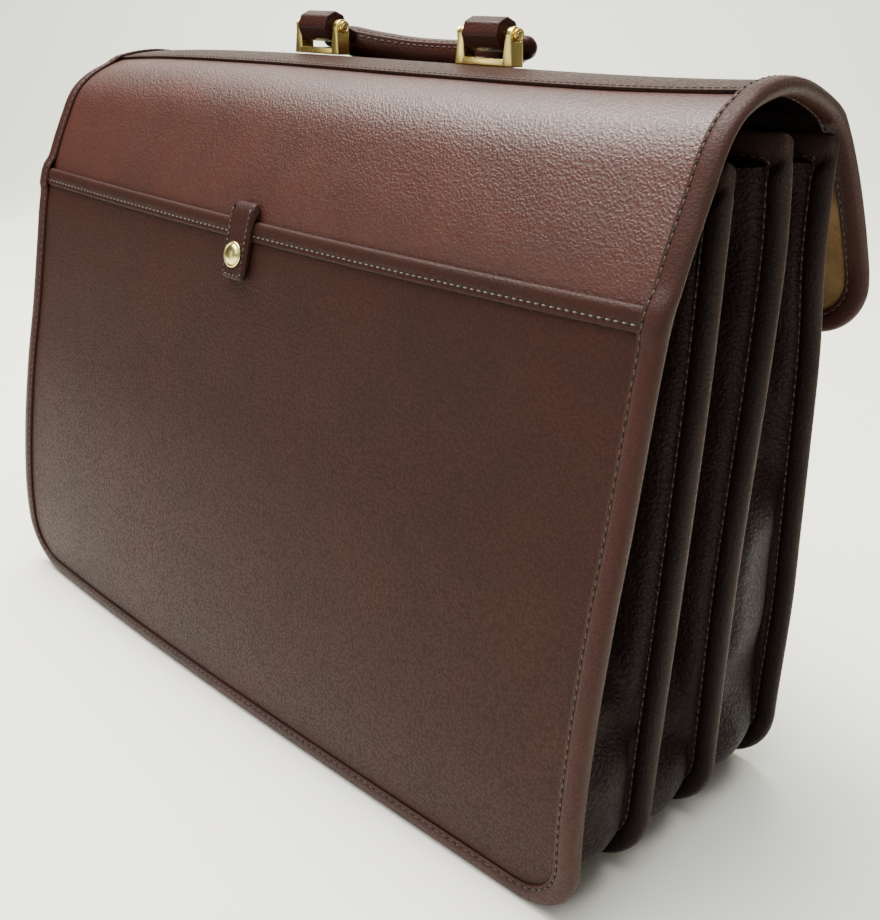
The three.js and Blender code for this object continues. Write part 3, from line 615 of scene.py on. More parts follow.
def grained_leather(name, cell, depth, dark=LEATHER_DARK, light=LEATHER_LIGHT, red=LEATHER_RED, rough=0.42,
                    shine=0.14, rim=None):
    """Pebbled leather. Cell is the pebble's size and depth its height, in millimetres."""
    finish = Finish(name, roughness=rough)
    bent = finish.bent(BEND_SCALE, BEND_AMOUNT)
    pebbles = finish.ramp(finish.cells(1.0 / (cell * MM), bent), 0.15, 0.8, 1.0, 0.0)
    small = finish.ramp(finish.cells(2.3 / (cell * MM), bent), 0.15, 0.8, 1.0, 0.0)
    pores = finish.noise(PORE_SCALE, 2.0)
    patches = finish.noise(PATCH_SCALE, 4.0, 0.6)
    streaks = finish.noise(STREAK_SCALE, 3.0, 0.6)
    warm = finish.blend(finish.ramp(patches, 0.35, 0.68), light, red)
    worn = finish.blend(finish.ramp(streaks, 0.25, 0.7, 0.6, 1.0), dark, warm)
    valley = finish.sum((pebbles, 0.75), (small, 0.25))
    colour = finish.blend(finish.ramp(valley, 0.0, 0.9, 0.5, 1.0), dark, worn)
    # Painted highlight: the "rim" attribute lightens the colour where light catches a binding's ridge.
    if rim:
        rim_highlight = finish.add("ShaderNodeAttribute", attribute_name="rim").outputs["Fac"]
        colour = finish.blend(finish.ramp(finish.sum((rim_highlight, 1.0), (streaks, 0.3)), 0.45, 1.15), colour, rim)
    finish.join(colour, finish.shader.inputs["Base Color"])
    finish.join(finish.ramp(valley, 0.0, 1.0, rough + 0.16, rough - 0.03), finish.shader.inputs["Roughness"])
    finish.bump(finish.sum((pebbles, 1.0), (small, 0.35), (pores, 0.25), (streaks, 0.6)), depth * MM)
    finish.shader.inputs["Specular IOR Level"].default_value = shine
    return finish.material


panel_leather = grained_leather("grained_leather", 1.3, 0.11, PANEL_DARK, PANEL_LIGHT, PANEL_RED, 0.34, 0.5)
pocket_leather = grained_leather("smooth_leather", 1.3, 0.08, rough=0.48)
strip_leather = grained_leather("strip_leather", 1.4, 0.08, rough=0.46)
print("leathers made")

# %% [markdown]
# The edges are wrapped in a strip of thinner leather, stretched smooth by the folding, so its grain is
# fine. Its ridge is painted a little paler and greyer than the face, a painted highlight where light catches
# the fold: the attribute "rim" says where. On the inner leaves the edge leather is darker, as painted shade.
# The bellows are soft garment leather, dark burgundy with a fine pebble, and the grip is smooth and polished
# by hands.

# %% Edge, bellows and grip leather
EDGE_DARK = (0.019, 0.0074, 0.0058)
EDGE_LIGHT = (0.036, 0.0130, 0.0096)
EDGE_RED = (0.044, 0.0128, 0.0086)
# Painted highlight colour for the ridge of the back's binding.
EDGE_RIM_HIGHLIGHT = (0.050, 0.027, 0.021)
# Painted shade: a darker tone for the inner leaves' edges, which stand in the shade between the bellows.
SHADED_EDGE = (0.009, 0.0030, 0.0024)
# Painted highlight colour for the ridges of the inner leaves' bindings.
INNER_RIM_HIGHLIGHT = (0.030, 0.0165, 0.013)
BELLOWS_DARK = (0.0025, 0.0008, 0.0008)
BELLOWS_LIGHT = (0.0105, 0.0032, 0.0029)
BELLOWS_RED = (0.0135, 0.0033, 0.0029)
GRIP_DARK = (0.016, 0.0052, 0.004)
GRIP_LIGHT = (0.032, 0.0100, 0.007)
GRIP_RED = (0.040, 0.0103, 0.0063)

edge_leather = grained_leather("edge_leather", 1.1, 0.07, EDGE_DARK, EDGE_LIGHT, EDGE_RED, 0.42, rim=EDGE_RIM_HIGHLIGHT)
# Edge leather for the inner leaves, darkened as painted shade.
shaded_edge_leather = grained_leather("shaded_edge_leather", 1.3, 0.1, BELLOWS_DARK, SHADED_EDGE, SHADED_EDGE, 0.44,
                                     shine=0.15, rim=INNER_RIM_HIGHLIGHT)
bellows_leather = grained_leather("bellows_leather", 1.7, 0.18, BELLOWS_DARK, BELLOWS_LIGHT, BELLOWS_RED, 0.44,
                                  0.12)
grip_leather = grained_leather("grip_leather", 1.3, 0.06, GRIP_DARK, GRIP_LIGHT, GRIP_RED, 0.27)
print("edge, bellows and grip leather made")

# %% [markdown]
# The lining is suede: leather with its nap up, so it scatters light and has no gloss. Where it runs up
# under the top it is darkened to near black: painted shade. The thread is waxed and twisted, almost the
# leather's own colour on the edges and paler on the hem and tab; the needle holes are small dark beads.

# %% Suede and thread
SUEDE_DARK = (0.130, 0.077, 0.034)
SUEDE_LIGHT = (0.280, 0.175, 0.084)
LINING_SHADE = (0.004, 0.0022, 0.0016)
SUEDE_SHADE_HEIGHTS = (0.262, 0.278)
NAP_SCALE = 900.0
MOTTLE_SCALE = 45.0
THREAD_DARK = (0.026, 0.0110, 0.0085)
THREAD_LIGHT = (0.070, 0.036, 0.028)
PALE_THREAD_DARK = (0.070, 0.042, 0.032)
PALE_THREAD_LIGHT = (0.180, 0.120, 0.092)
TWIST_SCALE = 2600.0
HOLE_COLOUR = (0.0035, 0.002, 0.002)


def suede_finish():
    """Napped leather: matt and mottled, with painted shade where it runs up under the top."""
    finish = Finish("suede", roughness=0.95)
    nap = finish.noise(NAP_SCALE, 4.0, 0.7)
    mottle = finish.noise(MOTTLE_SCALE, 4.0, 0.65)
    tone = finish.sum((nap, 0.35), (mottle, 0.65))
    napped = finish.blend(finish.ramp(tone, 0.3, 0.7), SUEDE_DARK, SUEDE_LIGHT)
    # Painted shade: above these heights, under the top, the suede turns nearly black.
    painted_shade_under_top = finish.ramp(finish.height(), *SUEDE_SHADE_HEIGHTS)
    finish.join(finish.blend(painted_shade_under_top, napped, LINING_SHADE), finish.shader.inputs["Base Color"])
    finish.bump(finish.sum((nap, 1.0), (mottle, 0.8)), 0.25 * MM)
    finish.shader.inputs["Specular IOR Level"].default_value = 0.03
    return finish.material


def thread_finish(name, dark, light):
    """Waxed thread, nearly the leather's own colour."""
    finish = Finish(name, roughness=0.6)
    twist = finish.noise(TWIST_SCALE, 2.0)
    finish.join(finish.blend(finish.ramp(twist, 0.3, 0.7), dark, light), finish.shader.inputs["Base Color"])
    finish.bump(twist, 0.08 * MM)
    return finish.material


suede = suede_finish()
thread = thread_finish("thread", THREAD_DARK, THREAD_LIGHT)
pale_thread = thread_finish("pale_thread", PALE_THREAD_DARK, PALE_THREAD_LIGHT)
needle_hole = Finish("needle_hole", roughness=0.9, colour=HOLE_COLOUR).material
print("suede, two threads and the holes' finish made")

# %% [markdown]
# The fittings are polished brass plate. Real polish is never even: faint smears change the roughness and
# a few fine scratches break the highlight. The snap is the same metal in a paler, softer plating.

# %% Brass
BRASS_COLOUR = (1.0, 0.80, 0.27)
SMEAR_SCALE = 70.0
SCRATCH_SCALE = 1500.0
SNAP_COLOUR = (0.74, 0.63, 0.27)


def brass_finish(name, colour, rough):
    """Polished metal with smears and fine scratches."""
    finish = Finish(name, roughness=rough, metallic=1.0, colour=colour)
    smears = finish.noise(SMEAR_SCALE, 3.0, 0.5)
    scratches = finish.noise(SCRATCH_SCALE, 2.0, 0.7)
    darker = tuple(0.95 * part for part in colour)
    finish.join(finish.blend(finish.ramp(smears, 0.3, 0.62), darker, colour), finish.shader.inputs["Base Color"])
    finish.join(finish.ramp(smears, 0.3, 0.7, rough + 0.05, rough - 0.03), finish.shader.inputs["Roughness"])
    finish.bump(finish.sum((scratches, 0.5), (smears, 1.0)), 0.003 * MM)
    return finish.material


brass = brass_finish("brass", BRASS_COLOUR, 0.2)
snap_metal = brass_finish("snap_metal", SNAP_COLOUR, 0.26)
print("brass and snap metal made")

# %% [markdown]
# The flat layers come first: the long panel that is back, top and flap in one, its suede lining, the
# pocket, the strip under the handle and the inner leaves. Each is a fine grid on its leaf with a thickness
# and rounded corners. Slow waves of a few tenths of a millimetre keep big faces from looking pressed.

# %% Flat layers of leather
WAVE_HEIGHT = 0.35
DIP_REACH = 40.0


def waves(x, s, seed):
    """Slow uneven waves over a face, from a few crossed sines."""
    return WAVE_HEIGHT * (
        np.sin(x / 37.0 + seed) * np.sin(s / 46.0 + 2 * seed)
        + 0.6 * np.sin(x / 19.0 - s / 27.0 + 3 * seed)
        + 0.3 * np.sin(x / 9.5 + s / 13.0 + seed)
    ) / 1.9


def layer_grid(leaf, inset, low, high, rows, columns, n, dip=0.0, wave=0.0, seed=0.0):
    """A grid over a leaf between two heights, its low and high edges kept straight or hanging by dip."""
    s = np.linspace(max(low, inset), min(high, leaf.length - inset), rows)[:, None]
    share = np.sin(np.linspace(-1.0, 1.0, columns) * math.pi / 2)[None, :]
    half = leaf.half_width(s, inset)
    x = half * share
    drop = dip * (1 - share ** 2) * smoothstep(s, high - DIP_REACH, high)
    lift = wave * waves(x, s, seed) * (1 - share ** 6) if wave else 0.0
    return leaf.place(x, s - drop, n + lift)


def flat_layer(name, leaf, outer, inner, material, slot, node, low=0.0, high=None, rows=120, columns=60, **extra):
    """A whole layer of leather, between two offsets from the leaf's face."""
    high = leaf.length if high is None else high
    above = layer_grid(leaf, EDGE_INSET, low, high, rows, columns, outer, **extra)
    under = layer_grid(leaf, EDGE_INSET, low, high, rows, columns, inner, **extra)
    points = np.concatenate([above.reshape(-1, 3), under.reshape(-1, 3)])
    return add_mesh(name, points, sheet_faces(rows, columns), "case", material, [node])


flat_layer("back_and_flap", back, 0.0, -PANEL_THICK, panel_leather, "leather", "back_flap_panel",
           rows=260, columns=80, wave=0.6, seed=1.3)
flat_layer("suede_lining", back, -PANEL_THICK - GAP, -PANEL_THICK - COVER, suede, "suede", "flap_lining",
           low=back_gusset_top + 1, rows=140, columns=70)
flat_layer("pocket", back, POCKET_LAYER, GAP, pocket_leather, "leather", "back_pocket",
           high=pocket_top, dip=POCKET_DIP, rows=140, columns=80, wave=0.35, seed=1.3)
flat_layer("handle_strip", back, STRIP_LAYER, GAP, strip_leather, "leather", "top_strip",
           low=strip_start, high=strip_end, rows=24, columns=80)
for label, leaf, thick, _, node in UPRIGHTS:
    flat_layer(f"{label}_leaf", leaf, 0.0, -thick, pocket_leather, "leather", node, rows=90, columns=40)

# %% [markdown]
# A binding is one strip of leather folded round an edge and sewn through. Its section is a U with a round
# back. Sweeping that section round the leaf's outline gives the whole edge in one closed piece. The seam
# pulls the leather down into a shallow groove, and between groove and edge it stands up like a soft roll.

# %% The binding's section
SEAM_MARGIN = 1.6
SEAM_DEPTH = 0.45
ROLL_HEIGHT = 0.25
ROUND_STEPS = 9
NOSE_REACH = 3.6


def binding_section(out, back_side, width):
    """The U-shaped section as (inset, n) points: outside from face to face, then inside back again."""
    middle = (out + back_side) / 2
    half = (out - back_side) / 2
    reach = NOSE_REACH
    seam = width - SEAM_MARGIN
    turns = np.linspace(math.pi / 2, -math.pi / 2, ROUND_STEPS)
    nose = [(reach * (1 - math.cos(t)), middle + half * math.sin(t)) for t in turns]

    def face(level, way):
        return [
            (width, level - way * 0.7),
            (width - 0.35, level - way * 0.1),
            (seam + 0.55, level),
            (seam, level - way * SEAM_DEPTH),
            (seam - 0.7, level + way * 0.2 * ROLL_HEIGHT),
            (0.5 * (seam + reach), level + way * ROLL_HEIGHT),
            (reach + 0.5, level + way * 0.5 * ROLL_HEIGHT),
        ]

    outer = face(out, 1) + nose + face(back_side, -1)[::-1]
    b = SOFT_THICK
    inner = [(width, back_side + b), (b, back_side + b), (b, out - b), (width, out - b)]
    return outer + inner


print("binding section:", len(binding_section(COVER, -PANEL_THICK - COVER, EDGE_WIDTH)), "points")

# %% [markdown]
# How thick an edge is changes on its way round: it climbs over the pocket, the hem and the strip, and an
# upright's binding holds the bellows only as high as the bellows goes. A small rule for each leaf says how
# far its binding reaches, and one sweep makes every edge. "rim" says where a highlight is painted: on the
# binding's ridge, and along an upright's top band where light falls.

# %% Edge bindings
# Painted highlight strengths: across a binding's faces towards its ridge, and along an upright's top band.
FACE_HIGHLIGHT = (0.0, 0.0, 0.0, 0.0, 0.0, 0.1, 0.3)
TOP_BAND_HIGHLIGHT = 0.85
TOP_BAND = 11.0
RAMP = 9.0


def band_width(leaf, s, head_width):
    """How wide the binding's faces are: wider along the leaf's top if head_width says so."""
    return EDGE_WIDTH + (head_width - EDGE_WIDTH) * smoothstep(s, leaf.length - 6.0, leaf.length)


def add_binding(name, leaf, reach_out, node, material, head_width=EDGE_WIDTH):
    """The folded edge all round a leaf. reach_out gives its two faces at each height."""
    _, rim = leaf.outline(0.0)
    rows = len(rim)
    out, back_side = reach_out(rim)
    wide = band_width(leaf, rim, head_width)
    sections = np.array([binding_section(o, b, w) for o, b, w in zip(out, back_side, wide)])
    columns = sections.shape[1]
    points = np.zeros((rows, columns, 3))
    for j in range(columns):
        x, s = leaf.outline_at(sections[:, j, 0])
        points[:, j] = leaf.place(x, s, sections[:, j, 1])
    faces = grid_faces(rows, columns, 0, True, False)
    i = np.arange(rows)
    here = i * columns
    there = ((i + 1) % rows) * columns
    closing = np.stack([here + columns - 1, here, there, there + columns - 1], axis=-1)
    faces = np.concatenate([faces, closing])
    piece = add_mesh(name, points.reshape(-1, 3), faces, "case", material, [node])
    # Painted highlight: paler on the binding's ridge, where light catches the fold.
    nose = 0.3 + 0.7 * np.cos(np.linspace(-math.pi / 2, math.pi / 2, ROUND_STEPS)) ** 3
    rim_highlight = np.concatenate([FACE_HIGHLIGHT, nose, FACE_HIGHLIGHT[::-1], np.zeros(4)])[None, :]
    # Painted highlight along an upright's top band, where light falls on it from above.
    lit_top_band = TOP_BAND_HIGHLIGHT * smoothstep(rim, leaf.length - 11.0, leaf.length - 7.0) * (head_width > EDGE_WIDTH)
    worn = np.maximum(rim_highlight, lit_top_band[:, None])
    piece.data.attributes.new("rim", "FLOAT", "POINT").data.foreach_set("value", worn.ravel())


def back_reach(s):
    """The back binding covers the pocket low down and the strip on top, and the panel alone between."""
    over_pocket = POCKET_LAYER * (1 - smoothstep(s, pocket_top - 2.0, pocket_top + 3.0))
    over_strip = STRIP_LAYER * band(s, strip_start - RAMP, strip_start, strip_end, strip_end + RAMP)
    over_hem = HEM_LAYER * band(s, pocket_top - 8.0 - RAMP, pocket_top - 8.0, pocket_top, pocket_top + RAMP)
    out = np.maximum(np.maximum(over_pocket, over_strip), over_hem) + COVER
    return out, np.full_like(out, -PANEL_THICK - COVER - COVER)


def upright_reach(leaf, thick, bellows_behind):
    """A divider's binding covers the bellows' edges up to where they end."""
    top = leaf.length - GUSSET_TOP_DROP

    def reach(s):
        sewn = COVER * (1 - smoothstep(s, top - 1.0, top + 2.0))
        return sewn + COVER, -thick - COVER - sewn * bellows_behind

    return reach


add_binding("back_edge", back, back_reach, "back_flap_binding", edge_leather)
for label, leaf, thick, behind, node in UPRIGHTS:
    reach_out = upright_reach(leaf, thick, behind)
    add_binding(f"{label}_edge", leaf, reach_out, f"{node}_binding", shaded_edge_leather, TOP_BAND)

# %% [markdown]
# Each bellows is a soft sheet, sewn flat to the leaf behind and the leaf ahead, and folded in between. It
# isn't the same all the way down: it sinks in deep along the sides, and stands out in a full pouch where it
# turns the bottom corner. A short table says how far it sinks and where its fold lies at each stage. Cloth
# simulation could fold it too, but the photograph's own pouches would be lost.

# %% Folds of the bellows: stage, sink, place across
FOLD_DEPTH = 34.0
UNDER_BINDING = 0.8
FOLD_BEND = 2.4
NEAR_FOLDS = [
    (0.0, 0.75, 0.5), (0.2, 1.0, 0.5), (0.7, 1.0, 0.55), (0.82, 0.42, 0.5), (0.91, 0.12, 0.48),
    (1.0, 0.14, 0.48), (1.5, 0.22, 0.5), (2.0, 0.42, 0.5), (2.3, 0.6, 0.5), (3.0, 0.6, 0.5),
]
MIDDLE_FOLDS = [
    (0.0, 0.75, 0.5), (0.2, 1.0, 0.5), (0.8, 0.95, 0.55), (0.92, 0.5, 0.5), (1.0, 0.16, 0.48),
    (1.5, 0.14, 0.5), (2.0, 0.4, 0.5), (2.3, 0.6, 0.5), (3.0, 0.6, 0.5),
]
FAR_FOLDS = [
    (0.0, 0.42, 0.72), (0.12, 0.7, 0.55), (0.3, 1.0, 0.5), (0.48, 0.5, 0.38), (0.62, 0.14, 0.34),
    (0.78, 0.12, 0.34), (0.9, 0.26, 0.36), (1.0, 0.1, 0.45), (1.5, 0.14, 0.5), (2.0, 0.4, 0.5),
    (2.3, 0.6, 0.5), (3.0, 0.6, 0.5),
]


def fold_at(folds, stage):
    """Sink and place across at a stage, with soft changes between the table's rows."""
    table = np.array(folds)
    row = np.clip(np.searchsorted(table[:, 0], stage, side="left"), 1, len(table) - 1)
    share = np.clip((stage - table[row - 1, 0]) / (table[row, 0] - table[row - 1, 0]), 0.0, 1.0)
    share = share * share * (3 - 2 * share)
    low = table[row - 1, 1:]
    return low + share[:, None] * (table[row, 1:] - low)


def bellows_section(sink, across):
    """The folded sheet between two leaves as (share across, inset) points."""
    leg = BINDING_WIDTH + UNDER_BINDING
    bend = leg + FOLD_BEND
    deep = sink * FOLD_DEPTH
    shoulder = bend + 0.68 * (deep - bend)
    near_quarter = 0.1 + 0.38 * (across - 0.1)
    far_quarter = 1 - (0.1 + 0.38 * (1 - across - 0.1))
    return np.array([
        (0.0, EDGE_INSET), (0.0, leg), (0.1, bend), (near_quarter, shoulder), (across, deep),
        (far_quarter, shoulder), (0.9, bend), (1.0, leg), (1.0, EDGE_INSET),
    ])


print("folds:", len(NEAR_FOLDS) + len(MIDDLE_FOLDS) + len(FAR_FOLDS), "stages in three tables")

# %% [markdown]
# The sheet is walked in rows: down the right side, round the corner, along the foot and up the left. In each
# row the fold's section is stretched from the leaf behind to the leaf ahead. Last, fine wrinkles are pushed
# into the soft leather, away from where it is sewn.

# %% Bellows
SIDE_ROWS = 90
CORNER_ROWS = 16
FOOT_ROWS = 60
SECTION_STEPS = 6
ROUTE_ROWS = 2 * (SIDE_ROWS + CORNER_ROWS) + FOOT_ROWS + 1
WRINKLE_HEIGHT = 0.7


def route_stages():
    """The stage of each row: 0 to 1 down the side, 1 to 2 round the corner, 2 to 3 along half the foot."""
    side = np.linspace(0.0, 1.0, SIDE_ROWS, endpoint=False)
    turn = np.linspace(0.0, 1.0, CORNER_ROWS, endpoint=False)
    end = np.linspace(0.0, 1.0, FOOT_ROWS // 2 + 1)
    stage = np.concatenate([side, 1 + turn, 2 + end])
    return np.concatenate([stage, stage[-2::-1]])


def route_point(top, inset, i):
    """The flat place (x, s) of row i, at any inset: down the right side, along the foot, up the left."""
    foot = max(FOOT_CORNER - inset, TIGHT_CORNER)
    low = inset + foot
    half = CASE_WIDTH / 2 - inset
    hand = 1.0
    if i > ROUTE_ROWS // 2:
        i = ROUTE_ROWS - 1 - i
        hand = -1.0
    if i < SIDE_ROWS:
        return hand * half, top + (low - top) * i / SIDE_ROWS
    if i < SIDE_ROWS + CORNER_ROWS:
        turn = (i - SIDE_ROWS) / CORNER_ROWS * math.pi / 2
        return hand * (half - foot + foot * math.cos(turn)), low - foot * math.sin(turn)
    end = (i - SIDE_ROWS - CORNER_ROWS) / (FOOT_ROWS // 2)
    return hand * (half - foot) * (1 - end), inset


def add_bellows(name, behind, ahead, thick, folds, seed, label):
    """A folded sheet between two leaves, with fine wrinkles that run into its corners."""
    top_behind = back_gusset_top if behind is back else behind.length - GUSSET_TOP_DROP
    top_ahead = ahead.length - GUSSET_TOP_DROP
    rows_of_folds = fold_at(folds, route_stages())
    sections = [smooth_curve(bellows_section(sink, across), SECTION_STEPS) for sink, across in rows_of_folds]
    rows, columns = len(sections), len(sections[0])
    middle = np.zeros((rows, columns, 3))
    for i, section in enumerate(sections):
        for j, (share, inset) in enumerate(section):
            a = behind.place(*route_point(top_behind, inset, i), -thick - GAP - SOFT_THICK / 2)
            b = ahead.place(*route_point(top_ahead, inset, i), GAP + SOFT_THICK / 2)
            middle[i, j] = a + (b - a) * share
    normal = np.cross(np.gradient(middle, axis=1), np.gradient(middle, axis=0))
    normal /= np.linalg.norm(normal, axis=-1, keepdims=True)
    spread = 1 - smoothstep(np.abs(np.linspace(-1.0, 1.0, columns)), 0.55, 0.8)
    i = np.arange(rows)[:, None]
    j = np.arange(columns)[None, :]
    wrinkle = 0.5 * np.sin(i / 5.3 + 0.9 * np.sin(j / 6.0 + seed)) + 0.35 * np.sin(i / 2.9 + j / 5.0 + 2 * seed)
    middle = middle + normal * (wrinkle * spread[None, :])[..., None] * WRINKLE_HEIGHT
    faces_out = [(middle + way * normal * SOFT_THICK / 2).reshape(-1, 3) for way in (1, -1)]
    nodes = [f"{label}_{part}" for part in ("right_end", "foot", "left_end")]
    return add_mesh(name, np.concatenate(faces_out), sheet_faces(rows, columns), "case", bellows_leather,
                    nodes)


add_bellows("near_bellows", back, near, PANEL_THICK, NEAR_FOLDS, 0.4, "near_gusset")
add_bellows("middle_bellows", near, far, DIVIDER_THICK, MIDDLE_FOLDS, 1.7, "middle_gusset")
add_bellows("far_bellows", far, front, DIVIDER_THICK, FAR_FOLDS, 2.9, "far_gusset")

# %% [markdown]
# The pocket's open edge is finished with a hem: a strip folded over it and sewn down near its lower edge.
# It is swept along the pocket's hanging edge, with a rounded fold at its top and a groove for the seam.

# %% Pocket hem
HEM_WIDTH = 8.0
HEM_SEAM = 5.6
HEM_STEPS = 160
HEM_HALF_WIDTH = CASE_WIDTH / 2 - BINDING_WIDTH - GAP
pocket_half_width = CASE_WIDTH / 2 - EDGE_INSET


def pocket_edge(x):
    """How far up the leather the pocket's top edge lies: it hangs a little in the middle."""
    return pocket_top - POCKET_DIP * (1 - (np.asarray(x, float) / pocket_half_width) ** 2)


def add_hem(section):
    """The hem's closed section of (s, n) points, swept along the pocket's edge."""
    x = np.linspace(-HEM_HALF_WIDTH, HEM_HALF_WIDTH, HEM_STEPS)
    section = np.array(section)
    points = back.place(x[:, None], pocket_edge(x)[:, None] + section[None, :, 0], section[None, :, 1])
    count = len(section)
    i = np.arange(HEM_STEPS - 1)[:, None] * count
    j = np.arange(count)[None, :]
    k = (j + 1) % count
    faces = np.stack([i + j, i + k, i + count + k, i + count + j], axis=-1).reshape(-1, 4).tolist()
    faces.append(list(range(count))[::-1])
    faces.append([(HEM_STEPS - 1) * count + index for index in range(count)])
    add_mesh("hem", points, faces, "case", strip_leather, ["pocket_hem"])


hem_face = POCKET_LAYER + GAP
hem_section = [
    (-HEM_WIDTH, hem_face), (-HEM_WIDTH, hem_face + 0.7), (-HEM_WIDTH + 0.4, hem_face + 1.0),
    (-HEM_SEAM - 0.6, hem_face + 1.0), (-HEM_SEAM, hem_face + 0.6), (-HEM_SEAM + 0.6, hem_face + 1.05),
    (-3.6, hem_face + 1.3), (-1.6, hem_face + 1.35), (0.0, hem_face + 1.1), (0.9, hem_face + 0.5),
    (1.3, hem_face - 0.3), (1.3, GAP), (GAP, GAP), (GAP, POCKET_LAYER), (0.0, hem_face),
]
add_hem(hem_section)

# %% [markdown]
# The tab comes up from behind the pocket, where it is sewn down, and folds over the hem to its snap. It is
# a firm double leather, so it keeps its own thickness, with eased edges and rounded lower corners.

# %% Snap tab
TAB_PLACE = -17.3
TAB_WIDTH = 17.0
TAB_THICK = 2.6
TAB_DROP = 26.6
TAB_RISE = 7.4
TAB_CORNER = 1.8
TAB_COLUMNS = 15
tab_back = hem_face + SOFT_THICK + GAP
tab_top = float(pocket_edge(TAB_PLACE))
tab_end = tab_top - TAB_DROP


def add_tab():
    """The folded tab: an outer path and an inner path, with soft edges."""
    fold_end = tab_top + 3 * GAP + SOFT_THICK
    outer = smooth_curve([
        (tab_end, tab_back + 0.8 * TAB_THICK), (tab_end + 0.8, tab_back + TAB_THICK),
        (tab_top - 8, tab_back + TAB_THICK), (tab_top + 0.6 * TAB_RISE, tab_back + TAB_THICK),
        (tab_top + TAB_RISE + 1.2, tab_back + 0.6),
        (tab_top + TAB_RISE + 1.6, GAP + 1.2), (fold_end, GAP),
    ], 6)
    inner = np.linspace((tab_end, tab_back), (fold_end, tab_back), len(outer) - 4)
    inner = np.vstack([inner, np.linspace((fold_end, tab_back), (fold_end, GAP + 0.3), 5)[1:]])
    across = np.sin(np.linspace(-1.0, 1.0, TAB_COLUMNS) * math.pi / 2)
    near_end = np.clip(TAB_CORNER - (outer[:, 0] - tab_end), 0.0, TAB_CORNER)
    near_end[len(near_end) // 2:] = 0.0
    lost = TAB_CORNER - np.sqrt(TAB_CORNER ** 2 - near_end ** 2)
    half = (TAB_WIDTH / 2 - lost)[:, None]
    eased = 0.45 * smoothstep(np.abs(across), 0.86, 1.0)[None, :, None]
    face = outer[:, None, :] + (inner[:, None, :] - outer[:, None, :]) * eased
    rear = np.broadcast_to(inner[:, None, :], face.shape)
    x = TAB_PLACE + half * across[None, :]
    grids = [back.place(x, part[..., 0], part[..., 1]).reshape(-1, 3) for part in (face, rear)]
    return add_mesh("tab", np.concatenate(grids), sheet_faces(len(outer), TAB_COLUMNS), "case", strip_leather,
                    ["snap_tab"])


add_tab()

# %% [markdown]
# Round and plate-like fittings are made lying flat, then stood on the leather by a small frame: across,
# along and out of the leaf at one place. The snap is turned from an outline, like a part on a lathe.

# %% The snap's cap
SNAP_FROM_TAB_END = 11.2
LATHE_STEPS = 48


def standing_frame(leaf, x, s, n):
    """A place on a leaf and the three directions there: across, along and out."""
    foot = leaf.place(x, s, n)
    out = leaf.place(x, s, n + 1.0) - foot
    out /= np.linalg.norm(out)
    along = leaf.place(x, s + 1.0, n) - leaf.place(x, s - 1.0, n)
    along /= np.linalg.norm(along)
    return foot, np.stack([np.cross(along, out), along, out])


def turned(outline, steps=LATHE_STEPS):
    """Points and faces of an outline of (radius, height), ends on the axis, turned about its own Z."""
    angles = np.arange(steps) * 2 * math.pi / steps
    rings = [(r, h) for r, h in outline[1:-1]]
    points = [(0.0, 0.0, outline[0][1])]
    for r, h in rings:
        points += [(r * math.cos(a), r * math.sin(a), h) for a in angles]
    points.append((0.0, 0.0, outline[-1][1]))
    last = len(points) - 1
    faces = []
    for j in range(steps):
        k = (j + 1) % steps
        faces.append([0, 1 + k, 1 + j])
        for ring in range(len(rings) - 1):
            a = 1 + ring * steps
            faces.append([a + j, a + k, a + steps + k, a + steps + j])
        a = 1 + (len(rings) - 1) * steps
        faces.append([a + j, a + k, last])
    return np.array(points), faces


snap_outline = [
    (0, 0), (6.0, 0), (6.2, 0.25), (6.2, 0.8), (5.9, 1.15), (5.4, 1.25), (5.05, 1.12), (4.85, 0.95),
    (4.6, 1.15), (4.2, 1.65), (3.3, 2.1), (2.0, 2.38), (0.9, 2.46), (0, 2.48),
]
snap_points, snap_faces = turned(snap_outline)
foot, frame_of_snap = standing_frame(back, TAB_PLACE, tab_end + SNAP_FROM_TAB_END, tab_back + TAB_THICK + GAP)
add_mesh("snap", foot + snap_points @ frame_of_snap, snap_faces, "case", snap_metal, ["snap_cap"])

# %% [markdown]
# The firm parts are outlines pulled to a thickness, with every sharper edge rounded off. The bevel catches
# the light, which is most of what polished brass looks like. Bevel and extrude in Edit Mode do the same by
# hand; as calls, they are ready for the brackets, the handle's loops and the clasp.

# %% Closed bodies with bevelled edges
BEVELLED_ANGLE = math.radians(28)


def bevelled(points, faces, width, segments=3):
    """A closed body with its sharper edges rounded off."""
    body = bmesh.new()
    verts = [body.verts.new(tuple(point)) for point in points]
    for face in faces:
        body.faces.new([verts[i] for i in face])
    body.normal_update()
    edges = [edge for edge in body.edges if edge.calc_face_angle(0.0) > BEVELLED_ANGLE]
    bmesh.ops.bevel(body, geom=edges, offset=width, segments=segments, profile=0.6, affect="EDGES",
                    clamp_overlap=True)
    body.verts.index_update()
    found = np.array([vert.co[:] for vert in body.verts])
    rings = [[vert.index for vert in face.verts] for face in body.faces]
    body.free()
    return found, rings


def extruded(outline, low, high, taper=None):
    """An outline of (a, b) points pulled from low to high, as (third, a, b) points."""
    count = len(outline)
    points = []
    for end in (low, high):
        for a, b in outline:
            third = end if taper is None else taper(end, b)
            points.append((third, a, b))
    faces = [list(range(count))[::-1], [count + i for i in range(count)]]
    for i in range(count):
        k = (i + 1) % count
        faces.append([i, k, count + k, count + i])
    return np.array(points), faces


def joined(parts):
    """Several closed bodies as one list of points and faces."""
    points, faces, start = [], [], 0
    for part_points, part_faces in parts:
        points.append(part_points)
        faces += [[start + i for i in face] for face in part_faces]
        start += len(part_points)
    return np.concatenate(points), faces


print("a bevelled cube has", len(bevelled(*extruded([(0, 0), (9, 0), (9, 9), (0, 9)], 0, 9), 1.0)[1]), "faces")

